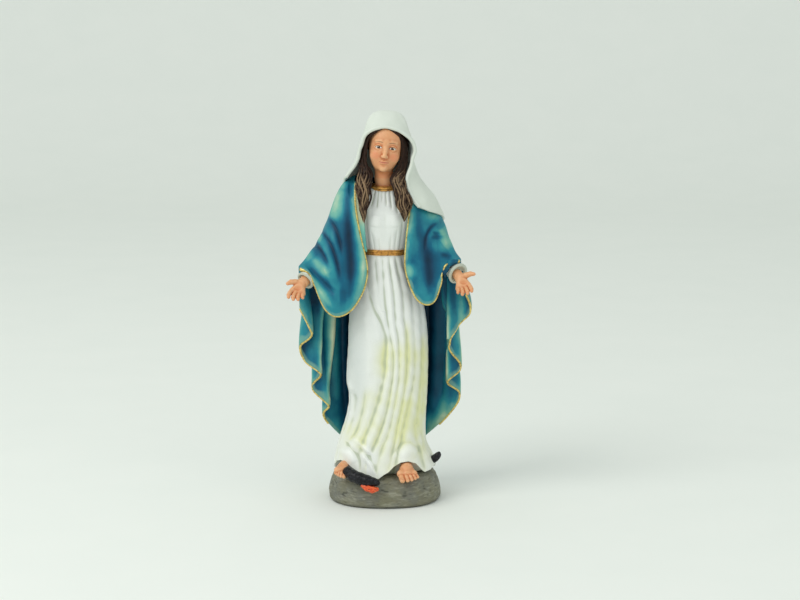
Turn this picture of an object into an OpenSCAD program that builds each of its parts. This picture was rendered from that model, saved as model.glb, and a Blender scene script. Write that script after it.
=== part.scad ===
// Painted cast-resin Madonna statue: a standing figure with open hands, on a rock with a snake.
// Millimetres. +Z up, the figure faces -Y, and the origin is the centre of the underside.
// Each garment, limb and ornament is a solid of its own. Spigots locate the figure on the rock,
// the neck in the bodice and each hand in its sleeve, and the faces between are glued.

/* [Statue] */
// Height of the whole statue
statue_h = 200; // [150:10:400]
// Facets round the gown and the rock
round_steps = 40; // [24:4:48]

/* [Rock base] */
// Width of the rock at its widest, side to side
rock_w = 57.6; // [54:0.4:62]
// Depth of the rock at its widest, front to back
rock_d = 54; // [52:0.5:60]
// Height of the ledge that the figure stands on
rock_h = 15; // [13:0.5:16]
// Depth of the recess for the felt pad
pad_t = 1; // [0.5:0.25:1.5]
// Radius of the felt pad
pad_r = 21; // [16:1:23]

/* [Gown] */
// Depth of the long folds in the skirt
fold_depth = 1.1; // [0:0.1:1.6]
// Number of long folds round the skirt
fold_count = 13; // [9:1:17]
// Height of the belt's middle above the table
belt_z = 127; // [125:0.5:129]

/* [Mantle and veil] */
// Thickness of the mantle and the veil
cloth_t = 1.3; // [0.9:0.1:1.6]
// Diameter of the gilt edging
trim_d = 1.1; // [0.7:0.1:1.6]

/* [Joints] */
// Radius of the spigot under the skirt
spigot_r = 7; // [5:0.5:9]
// Radius of the neck and its peg
neck_r = 4.6; // [4:0.1:5]
// Radius of each wrist peg
wrist_peg_r = 1.5; // [1:0.1:1.8]
// Clearance of each peg or spigot in its bore, for the glue
glue_gap = 0.05; // [0.02:0.01:0.1]

/* [Hidden] */

// The dimensions below are for a statue of design_h, and the whole is scaled to statue_h.
design_h = 200;
size = statue_h / design_h;
eps = 0.01;

teal = [0.05, 0.33, 0.45];
white_paint = [0.90, 0.91, 0.88];
gilt = [0.72, 0.50, 0.16];
skin_paint = [0.85, 0.62, 0.47];
hair_paint = [0.16, 0.09, 0.06];
rock_paint = [0.35, 0.35, 0.31];
snake_paint = [0.04, 0.04, 0.05];
mouth_paint = [0.85, 0.30, 0.18];
felt_green = [0.12, 0.22, 0.16];

// The rock's sections below are drawn for this width, depth and height.
drawn_rock = [57.6, 54, 15];
// How far the skirt's spigot reaches down into the rock and up into the skirt.
spigot_down = 7.5;
spigot_up = 1;
// How far the bore for it is deeper than the spigot.
bore_spare = 0.5;
// How far each wrist peg reaches into the cuff and into the palm.
peg_in = 4;
peg_out = 3;
bore_facets = 48;
// Exponent of the cross-sections' squared ovals. An ellipse has 2.
squareness = 2.3;

// Cross-sections, from the lowest up: [z, left x, right x, front y, back y].
rock_sections = [
    [0, -27.6, 27.6, -25.8, 25.8],
    [1.2, -28.6, 28.6, -26.8, 26.8],
    [4, -28.8, 28.8, -27, 27],
    [8, -28, 27.9, -26.2, 25.6],
    [11.5, -26.8, 26.6, -24.6, 23.6],
    [13.8, -25, 24.8, -22, 21.4],
    [15, -22.8, 22.4, -19, 18.8]
];
skirt_sections = [
    [15, -26.5, 25.5, -23.5, 15.5],
    [18, -27, 25.8, -23, 15.4],
    [23, -25.4, 24, -21.4, 15],
    [30, -22.8, 22, -19.6, 14],
    [45, -20, 21.6, -18, 13],
    [60, -19, 22, -17.4, 12.4],
    [80, -18.4, 21.8, -16.2, 12],
    [96, -17.6, 20.4, -15.2, 11.4],
    [110, -15, 16.6, -13.8, 10.6],
    [119, -12.8, 13.4, -12.3, 9.6],
    [126, -11.4, 11.8, -11.2, 9]
];
bodice_sections = [
    [126, -11.4, 11.8, -11.2, 9],
    [132, -12.6, 12.8, -12.1, 9.2],
    [142, -15.6, 15.6, -13.4, 9.6],
    [149, -18, 18, -12.8, 9.4],
    [155, -18, 18, -10.8, 8.6],
    [159, -12, 12, -9.2, 7],
    [161.4, -6.2, 6.2, -8.7, 3.7]
];
head_sections = [
    [169.2, -3.2, 3.2, -14, -6],
    [171.5, -5.6, 5.6, -14.6, 0],
    [175, -7.8, 7.8, -15, 4.5],
    [180, -9.2, 9.2, -14.9, 7],
    [185, -9.6, 9.6, -14.7, 8],
    [189.5, -8.6, 8.6, -12.8, 7],
    [193, -6.2, 6.2, -9.6, 4.8],
    [195, -2.6, 2.6, -5.5, 1.2]
];

// Half the belt's height, and how much less it stands out at the back.
belt_half = 1.9;
belt_lift = 0.5;

// The neck stands a little forward of the middle of the bodice.
neck_axis = [0, -2.5];
neck_foot_z = 150;
neck_top_z = 173;
// The band round the neckline: height, distance out from the neck and half thickness.
band_z = 161;
band_out = 1.3;
band_r = 1.15;
// The head leans to the figure's left, about a point under the chin.
head_roll = 4;
roll_z = 172;
nose = [[0, -13.6, 183.5, 1.3], [0, -14.6, 179.6, 1.6], [0, -16, 177.4, 1.8]];

// The ridge of the mantle, from the nape over the shoulder and along the arm to the wrist.
right_ridge = [
    [0, 11.5, 163], [-9, 9.5, 165.5], [-16, 4.5, 166], [-22, 2, 161.5],
    [-27.5, 2, 148], [-33.5, 0, 134.5], [-38.5, -6, 125.5], [-42.6, -13, 119.8]
];
left_ridge = [
    [0, 11.5, 163], [9, 9.5, 165], [16, 5, 163], [23, 2, 155.5],
    [30.5, 1.5, 144.5], [34, -1, 135], [38, -7, 127], [41.5, -13, 122.8]
];
// The gilt front edge, from the shoulder down the breast, round the hanging fold and up to the wrist.
right_front_edge = [
    [-15.2, -5, 165.5], [-15.8, -11.5, 155], [-15, -14.6, 141], [-11, -15.4, 127], [-8.4, -16.2, 117],
    [-10, -18.6, 106], [-15, -20.6, 98.6], [-22, -21.4, 95.4], [-28, -20.8, 98.6],
    [-32.8, -19.6, 107], [-37.6, -17.8, 117.4], [-42.9, -14.6, 118.8]
];
left_front_edge = [
    [14.6, -4.5, 163], [14, -11.5, 153], [12, -14.4, 141], [10.5, -15.2, 129], [10.4, -16.4, 119],
    [13, -18.4, 109.4], [18, -20, 103], [22.4, -20.6, 101.2], [27.4, -20.2, 103.6],
    [30.8, -19, 111.6], [34.2, -16.8, 122.4], [41.2, -14.4, 122]
];
// The hem of the mantle, from the middle of the back round to the wrist. Near the side it runs up
// across the hanging pleats, so it goes in and out.
right_hem = [
    [0, 21, 19], [-9, 20.6, 20.5], [-17, 18.5, 24], [-24.4, 14, 29.6], [-32.4, 8.5, 41], [-29.4, 3.5, 47.6],
    [-37.8, 4, 57], [-33, -1.5, 65], [-41, 0.5, 71.6], [-43.6, -3.5, 79.6],
    [-37.4, -8.5, 87], [-43, -10.4, 101]
];
left_hem = [
    [0, 21, 19], [9, 20.6, 20.5], [15.5, 18.5, 23.5], [22.6, 14, 29.6], [33, 8.5, 41], [39.4, 5, 52.8],
    [32.6, 2, 60], [39.6, 0.5, 68.4], [32.8, -5.5, 80], [37, -4.5, 90.4], [44.2, -5, 98.4], [42, -11.5, 107]
];
// Directions in which the cloth leaves the ridge and comes to its edge, front and back.
front_over = [0, -1, -0.15];
front_fall = [0, -0.12, 1];
back_over = [0, 0.16, -0.95];
back_fall = [0, 0, 1];

// The gilt edging lies just outside the cloth's edge. On the hem it starts this share of the way round.
front_trim_shift = [0, -0.3, -0.3];
side_trim_shift = [0, -0.5, -0.4];
side_trim_from = 0.32;
trim_steps = 40;

// Arms, from the shoulder to the cuff, as [x, y, z, radius].
right_arm = [
    [-17.5, 0, 152, 4.8], [-23.6, -1, 141, 4.4], [-29.8, -4, 129, 4],
    [-35, -9.5, 119.5, 3.5], [-39.8, -14.6, 113.9, 4.1]
];
left_arm = [
    [17.5, 0, 150, 4.8], [24.4, -1, 139.5, 4.4], [29, -4, 130, 4],
    [33.4, -9.5, 121.6, 3.5], [37.4, -14.6, 116.4, 4.1]
];
// Fingers from knuckle to tip, with the thumb last, as [knuckle, middle joint, tip].
right_fingers = [
    [[-46, -19.8, 109.8], [-47.2, -22.8, 108.8], [-47.5, -25, 107.9]],
    [[-44.3, -20.4, 108.7], [-45.1, -23.6, 107.6], [-45.2, -25.9, 106.9]],
    [[-42.5, -20.6, 108.1], [-42.9, -23.7, 107.2], [-42.8, -25.8, 106.7]],
    [[-40.8, -20.2, 108.1], [-40.8, -22.8, 107.4], [-40.5, -24.6, 107.2]],
    [[-44.4, -17.4, 113.4], [-46.9, -18.8, 114], [-48.4, -19.8, 113.5]]
];
left_fingers = [
    [[42.4, -19.8, 112.6], [43.4, -22.8, 111.8], [43.8, -25, 111]],
    [[40.8, -20.4, 111.6], [41.4, -23.6, 110.6], [41.6, -25.9, 109.8]],
    [[39, -20.6, 110.9], [39.2, -23.7, 110], [39.2, -25.8, 109.4]],
    [[37.3, -20.2, 110.9], [37.2, -22.8, 110.2], [37, -24.6, 109.8]],
    [[40.8, -17.4, 116.6], [43.2, -18.8, 118.2], [45, -19.8, 118.4]]
];
finger_r = 1.1;
palm_r = 2.3;

// Hair, as [x, y, z, radius across, radius front to back].
right_lock = [
    [-9.6, -7, 182, 2.2, 2.6], [-10.2, -9.5, 172, 3.1, 2.6], [-11, -12, 163.5, 3.8, 2.5],
    [-11.4, -14.6, 156, 2.9, 2], [-10.9, -15.6, 150.5, 1.9, 1.5], [-9.9, -15.6, 146.6, 0.7, 0.7]
];
left_lock = [
    [10, -7, 181, 2.1, 2.6], [8.7, -9.5, 172, 2.7, 2.6], [8.3, -12, 164, 3.2, 2.4],
    [10.2, -14.6, 156.5, 3, 2], [10.6, -15.6, 151.5, 2.2, 1.5], [10.4, -15.6, 147.2, 0.7, 0.7]
];

// The snake lies on the front of the rock under the right foot, and its tail shows on the other side.
snake_path = [
    [-17, -15, 15.5, 2], [-18, -20.5, 15.6, 2.4], [-15.6, -24.6, 14.4, 2.7], [-11.6, -27.4, 13.4, 2.8],
    [-7.4, -29, 12.6, 2.9], [-3.8, -29.4, 11.8, 2.7], [-2, -29.3, 11, 1.6]
];
snake_jaw_path = [
    [-10.6, -28.6, 10.6, 1], [-8, -30, 9.4, 1.7], [-5.2, -30.4, 8.7, 2], [-3, -30.2, 8.6, 1.3]
];
snake_tail_path = [
    [21, -3, 17.6, 2.4], [25.4, -6, 19.6, 2.4], [28.4, -7.2, 21, 2.1], [29.6, -7.4, 23, 1.2]
];

// The veil, as lines that run from its rim round the face to its hem, side to side.
veil_lines = [
    [[-17.4, -4.5, 166.6], [-20.6, 0, 167.4], [-22.6, 4, 163.6],
     [-23.6, 7.5, 157], [-22.6, 10.6, 148], [-21.4, 12.8, 140]],
    [[-13.6, -7, 174.6], [-17, 0, 174], [-17.6, 7, 168], [-17.8, 11.4, 158],
     [-16.6, 14.4, 145], [-15.2, 16.2, 131]],
    [[-13, -9, 183.6], [-14.2, -1, 184.4], [-12.6, 9, 178], [-11, 14, 163],
     [-10.4, 16.8, 145], [-9.6, 18.4, 124]],
    [[-7.6, -11.6, 190.6], [-8.4, -2, 196.2], [-6.2, 10.6, 188],
     [-5, 15.6, 168], [-5, 17.6, 146], [-4.8, 19.6, 119.6]],
    [[1, -12.2, 192.6], [2, -2.2, 200.2], [1.4, 11.8, 191], [0.4, 16.2, 169], [0, 18, 146], [0, 20, 118]],
    [[8.6, -11, 189.6], [9.8, -1.4, 195.6], [8, 10.6, 186.6], [6, 15.6, 168],
     [5.4, 17.6, 146], [5, 19.6, 119.6]],
    [[13.4, -8.4, 182], [14.6, -0.4, 182.6], [13.4, 8.6, 176],
     [12, 13.8, 162], [11, 16.8, 145], [10, 18.4, 124]],
    [[13.2, -6.4, 173], [17.6, 0.4, 171], [19, 6.6, 164.6], [19, 11.4, 155],
     [17.4, 14.4, 144], [15.8, 16.2, 131]],
    [[16, -6.6, 161.4], [21.6, -3.4, 161], [25.4, 0.6, 156], [27, 6, 150],
     [25, 10.6, 143], [22.6, 13.2, 137]],
    [[18.4, -6.2, 155.4], [23.4, -4.4, 153.4], [28, -1.6, 149.6],
     [29.6, 3.6, 145.6], [28, 9, 141], [25.4, 12.4, 136.4]]
];

// ---- Curves and solids ----

function clamp01(t) = min(max(t, 0), 1);

// Point on the smooth curve through the points p, at t from 0 to 1.
function along(p, t) =
    let (n = len(p) - 1, s = clamp01(t) * n, i = min(floor(s), n - 1), f = s - i)
    let (a = p[max(i - 1, 0)], b = p[i], c = p[i + 1], d = p[min(i + 2, n)])
    0.5 * (2 * b + (c - a) * f + (2 * a - 5 * b + 4 * c - d) * f * f + (3 * b - a - 3 * c + d) * f * f * f);

function unit(v) = v / max(norm(v), 1e-9);
function centre(ring) = [for (k = [0:2]) let (s = [for (p = ring) p[k]]) s * [for (v = s) 1] / len(s)];

// Height of the lowest section at or under z, as a share of the way up the list.
function share_of(sections, z) =
    let (i = max([for (k = [0:len(sections) - 2]) if (sections[k][0] <= z + eps) k]))
    (i + (z - sections[i][0]) / (sections[i + 1][0] - sections[i][0])) / (len(sections) - 1);

// How far out a squared oval of radius 1 reaches at angle a.
function squared(a) =
    1 / pow(pow(abs(cos(a)), squareness) + pow(abs(sin(a)), squareness), 1 / squareness);

// One closed ring of a body at height z: a slightly squared oval, pushed out by ripple(angle).
function oval_ring(s, steps, depth = 0, count = 1) = [
    for (j = [0:steps - 1])
        let (a = 360 * j / steps, c = cos(a), n = sin(a))
        let (k = squared(a), rx = (s[2] - s[1]) / 2, ry = n < 0 ? -s[3] : s[4])
        let (out = depth * cos(count * a + s[0]))
        [(s[1] + s[2]) / 2 + (rx + out) * c * k, (ry + out) * n * k, s[0]]
];

// A closed solid through rings of points, which run anticlockwise seen from the last ring.
module skin(rings) {
    m = len(rings);
    n = len(rings[0]);
    points = concat([for (r = rings) each r], [centre(rings[0]), centre(rings[m - 1])]);
    side = [for (i = [0:m - 2], j = [0:n - 1])
        let (a = i * n + j, b = i * n + (j + 1) % n)
        each [[a, a + n, b + n], [a, b + n, b]]];
    first = [for (j = [0:n - 1]) [m * n, j, (j + 1) % n]];
    last = [for (j = [0:n - 1]) [m * n + 1, (m - 1) * n + (j + 1) % n, (m - 1) * n + j]];
    polyhedron(points, concat(side, first, last), convexity = 8);
}

// Normal of a grid of points at row i and column j.
function grid_normal(g, i, j) =
    let (m = len(g) - 1, n = len(g[0]) - 1)
    unit(cross(g[min(i + 1, m)][j] - g[max(i - 1, 0)][j], g[i][min(j + 1, n)] - g[i][max(j - 1, 0)]));

// The same grid with its face turned to the other side.
function turned(g) = [for (row = g) [for (j = [len(row) - 1:-1:0]) row[j]]];

// A closed sheet of thickness t, on the side of the grid that its normals point away from.
module sheet(g, t) {
    m = len(g);
    n = len(g[0]);
    face = [for (i = [0:m - 1], j = [0:n - 1]) g[i][j]];
    back = [for (i = [0:m - 1], j = [0:n - 1]) g[i][j] - t * grid_normal(g, i, j)];
    s = m * n;
    sides = [for (i = [0:m - 2], j = [0:n - 2])
        let (a = i * n + j, b = a + 1, c = a + n, d = c + 1)
        each [[a, b, d], [a, d, c], [a + s, d + s, b + s], [a + s, c + s, d + s]]];
    ends = [for (j = [0:n - 2])
        let (a = j, c = (m - 1) * n + j)
        each [[a, a + s, a + s + 1], [a, a + s + 1, a + 1], [c, c + s + 1, c + s], [c, c + 1, c + s + 1]]];
    edges = [for (i = [0:m - 2])
        let (a = i * n, c = i * n + n - 1)
        each [[a, a + n + s, a + s], [a, a + n, a + n + s], [c, c + s, c + n + s], [c, c + n + s, c + n]]];
    polyhedron(concat(face, back), concat(sides, ends, edges), convexity = 8);
}

// Frame across a path at t: [sideways, up], from the path's direction and a steady reference.
function path_frame(p, t, up) =
    let (a = along(p, t - 0.01), b = along(p, t + 0.01))
    let (d = unit([b[0] - a[0], b[1] - a[1], b[2] - a[2]]), w = unit(cross(up, d)))
    [w, cross(d, w)];

// A round or oval tube along a path of [x, y, z, radius, second radius].
module tube(p, steps, sides, up = [0, -1, 0]) {
    skin([for (i = [0:steps])
        let (t = i / steps, c = along(p, t), f = path_frame(p, t, up))
        let (rv = len(c) > 4 ? c[4] : c[3])
        [for (j = [0:sides - 1])
            let (a = 360 * j / sides)
            [c[0], c[1], c[2]] + f[0] * c[3] * cos(a) + f[1] * rv * sin(a)]]);
}

function with_radius(p, r) = [for (q = p) [q[0], q[1], q[2], r]];
function moved(p, v) = [for (q = p) q + v];

module body_of(sections, steps, rows, depth = 0, count = 1) {
    skin([for (i = [0:rows]) oval_ring(along(sections, i / rows), steps, depth, count)]);
}

// ---- Rock and snake ----

module rock_base() color(rock_paint) difference() {
    wide = rock_w / drawn_rock[0];
    deep = rock_d / drawn_rock[1];
    high = rock_h / drawn_rock[2];
    body_of([for (s = rock_sections) [s[0] * high, s[1] * wide, s[2] * wide, s[3] * deep, s[4] * deep]],
        round_steps, 9);
    translate([0, 0, -1]) cylinder(h = 1 + pad_t, r = pad_r, $fn = 72);
    translate([0, 0, rock_h - spigot_down - bore_spare])
        cylinder(h = spigot_down + bore_spare + 1, r = spigot_r + glue_gap, $fn = bore_facets);
}

module base_pad() color(felt_green) cylinder(h = pad_t, r = pad_r - glue_gap, $fn = 72);

module snake_body() color(snake_paint) tube(snake_path, 14, 10, [0, 0, 1]);

module snake_jaw() color(mouth_paint) tube(snake_jaw_path, 8, 8, [0, 0, 1]);

module snake_tail() color(snake_paint) tube(snake_tail_path, 7, 8, [0, 0, 1]);

// ---- Gown ----

module skirt() color(white_paint) {
    body_of(skirt_sections, round_steps, 24, fold_depth, fold_count);
    translate([0, 0, rock_h - spigot_down])
        cylinder(h = spigot_down + spigot_up, r = spigot_r, $fn = bore_facets);
}

module bodice() color(white_paint) difference() {
    body_of(bodice_sections, round_steps, 12);
    translate([neck_axis[0], neck_axis[1], neck_foot_z])
        cylinder(h = neck_top_z - neck_foot_z, r = neck_r + glue_gap, $fn = bore_facets);
}

// An oval at height z, standing out from the bodice's section s by out.
function waist(s, z, out) = [z, s[1] - out, s[2] + out, s[3] - out, s[4] + out - belt_lift];

module belt() color(gilt) {
    round_waist = along(bodice_sections, share_of(bodice_sections, belt_z));
    rows = [[-1, 0.7], [-0.6, 1.4], [0, 1.2], [0.6, 1.4], [1, 0.7]];
    difference() {
        skin([for (row = rows)
            oval_ring(waist(round_waist, belt_z + belt_half * row[0], row[1]), round_steps)]);
        skin([for (side = [-1, 1])
            oval_ring(waist(round_waist, belt_z + (belt_half + 1) * side, 0.3), round_steps)]);
    }
}

module neck_band() color(gilt)
    translate([neck_axis[0], neck_axis[1], 0]) rotate_extrude($fn = 64)
        translate([neck_r + band_out, band_z]) circle(r = band_r, $fn = 24);

// A sleeve is a tapering tube with a bore in its end for the wrist peg.
module sleeve(arm, palm) color(white_paint) {
    end = along(arm, 1);
    difference() {
        tube(arm, 14, 16);
        peg([end[0], end[1], end[2]], palm, wrist_peg_r + glue_gap, peg_in + bore_spare, peg_out);
    }
}

// A straight peg on the line from the cuff to the palm: back into the sleeve, and out towards the palm.
module peg(cuff, palm, r, inward, outward) {
    d = unit(palm - cuff);
    translate(cuff - inward * d) rotate([0, acos(d[2]), atan2(d[1], d[0])])
        cylinder(h = inward + outward, r = r, $fn = 32);
}

right_palm = [-43.4, -18.4, 110.4];
left_palm = [40.8, -18.4, 113.2];

module right_sleeve() sleeve(right_arm, right_palm);
module left_sleeve() sleeve(left_arm, left_palm);

module bone(a, b, ra, rb) hull() {
    translate(a) sphere(r = ra, $fn = 10);
    translate(b) sphere(r = rb, $fn = 10);
}

module hand(fingers, palm, arm) color(skin_paint) {
    end = along(arm, 1);
    cuff = [end[0], end[1], end[2]];
    for (f = fingers) {
        bone(f[0], f[1], finger_r * 1.08, finger_r);
        bone(f[1], f[2], finger_r, finger_r * 0.85);
    }
    hull() {
        translate(cuff + 0.35 * (palm - cuff)) sphere(r = palm_r, $fn = 12);
        for (i = [0, 3]) translate(fingers[i][0]) sphere(r = finger_r * 1.25, $fn = 10);
    }
    bone(fingers[4][0], palm, finger_r * 1.3, finger_r * 1.4);
    peg(cuff, palm, wrist_peg_r, peg_in, peg_out);
}

module right_hand() hand(right_fingers, right_palm, right_arm);
module left_hand() hand(left_fingers, left_palm, left_arm);

// ---- Feet: the sole, the instep and five toes ----

module foot(heel, ball, side) color(skin_paint) {
    hull() {
        translate(heel) sphere(r = 3, $fn = 14);
        translate(ball + [-2, 0, 0]) sphere(r = 1.9, $fn = 14);
        translate(ball + [2, 0, 0]) sphere(r = 1.9, $fn = 14);
    }
    for (i = [0:4])
        bone(ball + [side * (i - 2) * 1.55, -0.6, -0.4], ball + [side * (i - 2) * 1.7, -4.4 + 0.45 * i, -1.7],
            1.15 - 0.1 * i, 1 - 0.09 * i);
}

module right_foot() foot([-20.4, -15, 17.4], [-21.8, -21.4, 16.8], -1);
module left_foot() foot([11.4, -17, 17.6], [12.6, -24.2, 16.8], 1);

// ---- Head and hair ----

module rolled()
    translate([0, 0, roll_z]) rotate([0, head_roll, 0]) translate([0, 0, -roll_z]) children();

module head() color(skin_paint) {
    rolled() body_of(head_sections, 28, 14);
    rolled() tube(nose, 5, 8, [0, 0, 1]);
    translate([neck_axis[0], neck_axis[1], neck_foot_z + bore_spare])
        cylinder(h = neck_top_z - neck_foot_z - bore_spare, r = neck_r, $fn = bore_facets);
}

// Hair under the veil: a thin shell over the crown and down behind the cheeks.
hair_low = 0.28;
hair_from = -58;
hair_to = 238;
hair_out = 1.1;
hair_t = 0.9;

function hair_grid(around, up) = [
    for (i = [0:up])
        let (s = along(head_sections, hair_low + (1 - hair_low) * i / up), rise = 0.8 * i / up)
        [for (j = [0:around])
            let (a = hair_from + (hair_to - hair_from) * j / around, k = squared(a))
            let (rx = (s[2] - s[1]) / 2 + hair_out, ry = (sin(a) < 0 ? -s[3] : s[4]) + hair_out)
            [rx * cos(a) * k, ry * sin(a) * k, s[0] + rise]]];

module hair_cap() color(hair_paint) rolled() sheet(turned(hair_grid(22, 12)), hair_t);

module right_hair_lock() color(hair_paint) tube(right_lock, 18, 12);
module left_hair_lock() color(hair_paint) tube(left_lock, 18, 12);

// ---- Mantle ----

// Line of cloth that leaves the ridge one way and comes to its edge another, as a cubic curve.
function drape(top, edge, over, fall, t) =
    let (reach = 0.36 * norm(edge - top), p = top + reach * over, q = edge + reach * fall, r = 1 - t)
    r * r * r * top + 3 * r * r * t * p + 3 * r * t * t * q + t * t * t * edge;

function back_grid(columns, rows) = [
    for (i = [-columns:columns])
        let (u = abs(i) / columns)
        let (ridge = i < 0 ? right_ridge : left_ridge, hem = i < 0 ? right_hem : left_hem)
        [for (j = [0:rows]) drape(along(ridge, u), along(hem, u), back_over, back_fall, j / rows)]];

module mantle_back() color(teal) sheet(back_grid(22, 11), cloth_t);

// The front of the mantle starts where the ridge leaves the neck.
ridge_start = 0.26;
function front_grid(ridge, edge, columns, rows) = [
    for (i = [0:columns])
        let (u = i / columns, top = along(ridge, ridge_start + (1 - ridge_start) * u))
        let (bottom = along(edge, u))
        [for (j = [0:rows]) drape(top, bottom, front_over, front_fall, j / rows)]];

module right_mantle_front() color(teal) sheet(front_grid(right_ridge, right_front_edge, 20, 9), cloth_t);
module left_mantle_front() color(teal) sheet(turned(front_grid(left_ridge, left_front_edge, 20, 9)), cloth_t);

// Gilt edging: a cord along the edge of the cloth.
module edging(p, from) color(gilt) {
    path = [for (i = [0:trim_steps]) along(p, from + (1 - from) * i / trim_steps)];
    tube(with_radius(path, trim_d / 2), trim_steps, 6, [0.31, 0.2, 0.93]);
}

module right_front_trim() edging(moved(right_front_edge, front_trim_shift), 0);
module left_front_trim() edging(moved(left_front_edge, front_trim_shift), 0);
module right_side_trim() edging(moved(right_hem, side_trim_shift), side_trim_from);
module left_side_trim() edging(moved(left_hem, side_trim_shift), side_trim_from);

// ---- Veil ----

function veil_grid(across, down) = [
    for (i = [0:across])
        [for (j = [0:down]) along([for (line = veil_lines) along(line, j / down)], i / across)]];

module veil() color(white_paint) sheet(veil_grid(26, 16), cloth_t);

module veil_rim() color(white_paint)
    tube(with_radius([for (line = veil_lines) line[0]], 0.75), 36, 6, [0, -1, 0.2]);

scale(size) rock_base();
scale(size) base_pad();
scale(size) snake_body();
scale(size) snake_jaw();
scale(size) snake_tail();
scale(size) right_foot();
scale(size) left_foot();
scale(size) skirt();
scale(size) bodice();
scale(size) belt();
scale(size) neck_band();
scale(size) right_sleeve();
scale(size) left_sleeve();
scale(size) right_hand();
scale(size) left_hand();
scale(size) head();
scale(size) hair_cap();
scale(size) right_hair_lock();
scale(size) left_hair_lock();
scale(size) mantle_back();
scale(size) right_mantle_front();
scale(size) left_mantle_front();
scale(size) right_front_trim();
scale(size) left_front_trim();
scale(size) right_side_trim();
scale(size) left_side_trim();
scale(size) veil();
scale(size) veil_rim();
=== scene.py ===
import math
import bpy
import numpy as np
import openvdb
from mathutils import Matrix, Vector


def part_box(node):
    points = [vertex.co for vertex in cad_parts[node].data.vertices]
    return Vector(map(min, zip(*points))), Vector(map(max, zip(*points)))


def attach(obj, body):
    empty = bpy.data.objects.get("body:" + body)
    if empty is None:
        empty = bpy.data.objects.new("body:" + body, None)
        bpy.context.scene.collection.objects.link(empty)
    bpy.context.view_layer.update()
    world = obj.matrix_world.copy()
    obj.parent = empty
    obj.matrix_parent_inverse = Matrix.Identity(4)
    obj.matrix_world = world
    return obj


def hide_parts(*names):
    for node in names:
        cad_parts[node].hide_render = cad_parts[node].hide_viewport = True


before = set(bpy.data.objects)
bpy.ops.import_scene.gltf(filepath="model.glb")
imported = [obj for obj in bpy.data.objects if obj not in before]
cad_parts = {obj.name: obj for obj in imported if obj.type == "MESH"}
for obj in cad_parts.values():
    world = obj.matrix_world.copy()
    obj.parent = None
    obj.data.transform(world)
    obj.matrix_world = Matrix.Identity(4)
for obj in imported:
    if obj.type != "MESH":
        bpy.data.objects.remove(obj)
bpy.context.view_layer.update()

# Everything below is drawn in millimetres on a statue whose hood tops out at drawnTop,
# and mm scales that to the frame.
drawnTop = 200.06
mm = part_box("veil")[1].z / drawnTop


def spline(points, t):  # smooth curve through the points, t from 0 to 1
    p = np.asarray(points, float)
    t = np.clip(np.asarray(t, float), 0, 1) * (len(p) - 1)
    i = np.minimum(t.astype(int), len(p) - 2)
    f = (t - i)[..., None]
    a, b, c, d = p[np.maximum(i - 1, 0)], p[i], p[i + 1], p[np.minimum(i + 2, len(p) - 1)]
    bent, sharp = 2 * a - 5 * b + 4 * c - d, 3 * b - a - 3 * c + d
    return 0.5 * (2 * b + (c - a) * f + bent * f ** 2 + sharp * f ** 3)


def smooth(v, low, high):  # eased step from 0 at low to 1 at high
    t = np.clip((np.asarray(v, float) - low) / (high - low), 0, 1)
    return t * t * (3 - 2 * t)


def bell(v, middle, width):
    return np.exp(-((np.asarray(v, float) - middle) / width) ** 2)


def unit(v):
    return v / np.maximum(np.linalg.norm(v, axis=-1, keepdims=True), 1e-9)


def crowded(n, share):  # 0 to 1, with the steps closer together at both ends
    s = np.linspace(0, 1, n)
    return s - share * np.sin(2 * np.pi * s) / (2 * np.pi)


def gridNormals(grid, around=False):
    if around:
        wide = np.concatenate([grid[:, -2:], grid, grid[:, :2]], 1)
        across = np.gradient(wide, axis=1)[:, 2:-2]
    else:
        across = np.gradient(grid, axis=1)
    return unit(np.cross(np.gradient(grid, axis=0), across))


def blurred(field, reach, around=False):  # box blur, twice, along both ways of a grid
    out = np.asarray(field, float)
    flat = out.ndim == 2
    out = out[..., None] if flat else out
    for axis in (0, 1):
        r = int(reach if np.isscalar(reach) else reach[axis])
        if r < 1:
            continue
        for _ in (0, 1):
            mode = "wrap" if around and axis == 1 else "edge"
            pad = [(r + 1, r) if k == axis else (0, 0) for k in range(3)]
            total = np.cumsum(np.pad(out, pad, mode=mode), axis=axis)
            n = out.shape[axis]
            wide = 2 * r + 1
            out = (total.take(range(wide, wide + n), axis) - total.take(range(n), axis)) / wide
    return out[..., 0] if flat else out


def relief(grid, normals, reach, around=False):  # how far each point stands proud of its surroundings
    return ((grid - blurred(grid, reach, around)) * normals).sum(-1)


def noise(points, size, seed):  # smooth noise from a few waves in random directions
    rng = np.random.default_rng(seed)
    p = np.asarray(points, float) / size
    total = 0
    for k in range(14):
        way = rng.normal(size=p.shape[-1])
        way *= (1 + 1.2 * rng.random()) / np.linalg.norm(way)
        total = total + np.sin(p @ way * 2 * np.pi + rng.random() * 6.28)
    return total / 5.3


def stroked(x, z, strokes):  # folds drawn as lines on the front view: points, width, height, and how sharp
    total = np.zeros(np.shape(x))
    for line, width, height, sharp in strokes:
        path = spline(line, np.linspace(0, 1, 15))
        near, along = np.full(np.shape(x), 1e9), np.zeros(np.shape(x))
        for k in range(len(path) - 1):
            ax, az = path[k][:2]
            bx, bz = path[k + 1][:2]
            dx, dz = bx - ax, bz - az
            f = np.clip(((x - ax) * dx + (z - az) * dz) / (dx * dx + dz * dz), 0, 1)
            far = np.hypot(x - ax - f * dx, z - az - f * dz)
            closer = far < near
            near, along = np.where(closer, far, near), np.where(closer, (k + f) / (len(path) - 1), along)
        ends = np.sin(np.pi * (0.04 + 0.92 * along)) ** 0.55
        total += height * ends * np.exp(-(near / (width * (0.45 + 0.55 * ends))) ** sharp)
    return total


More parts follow.
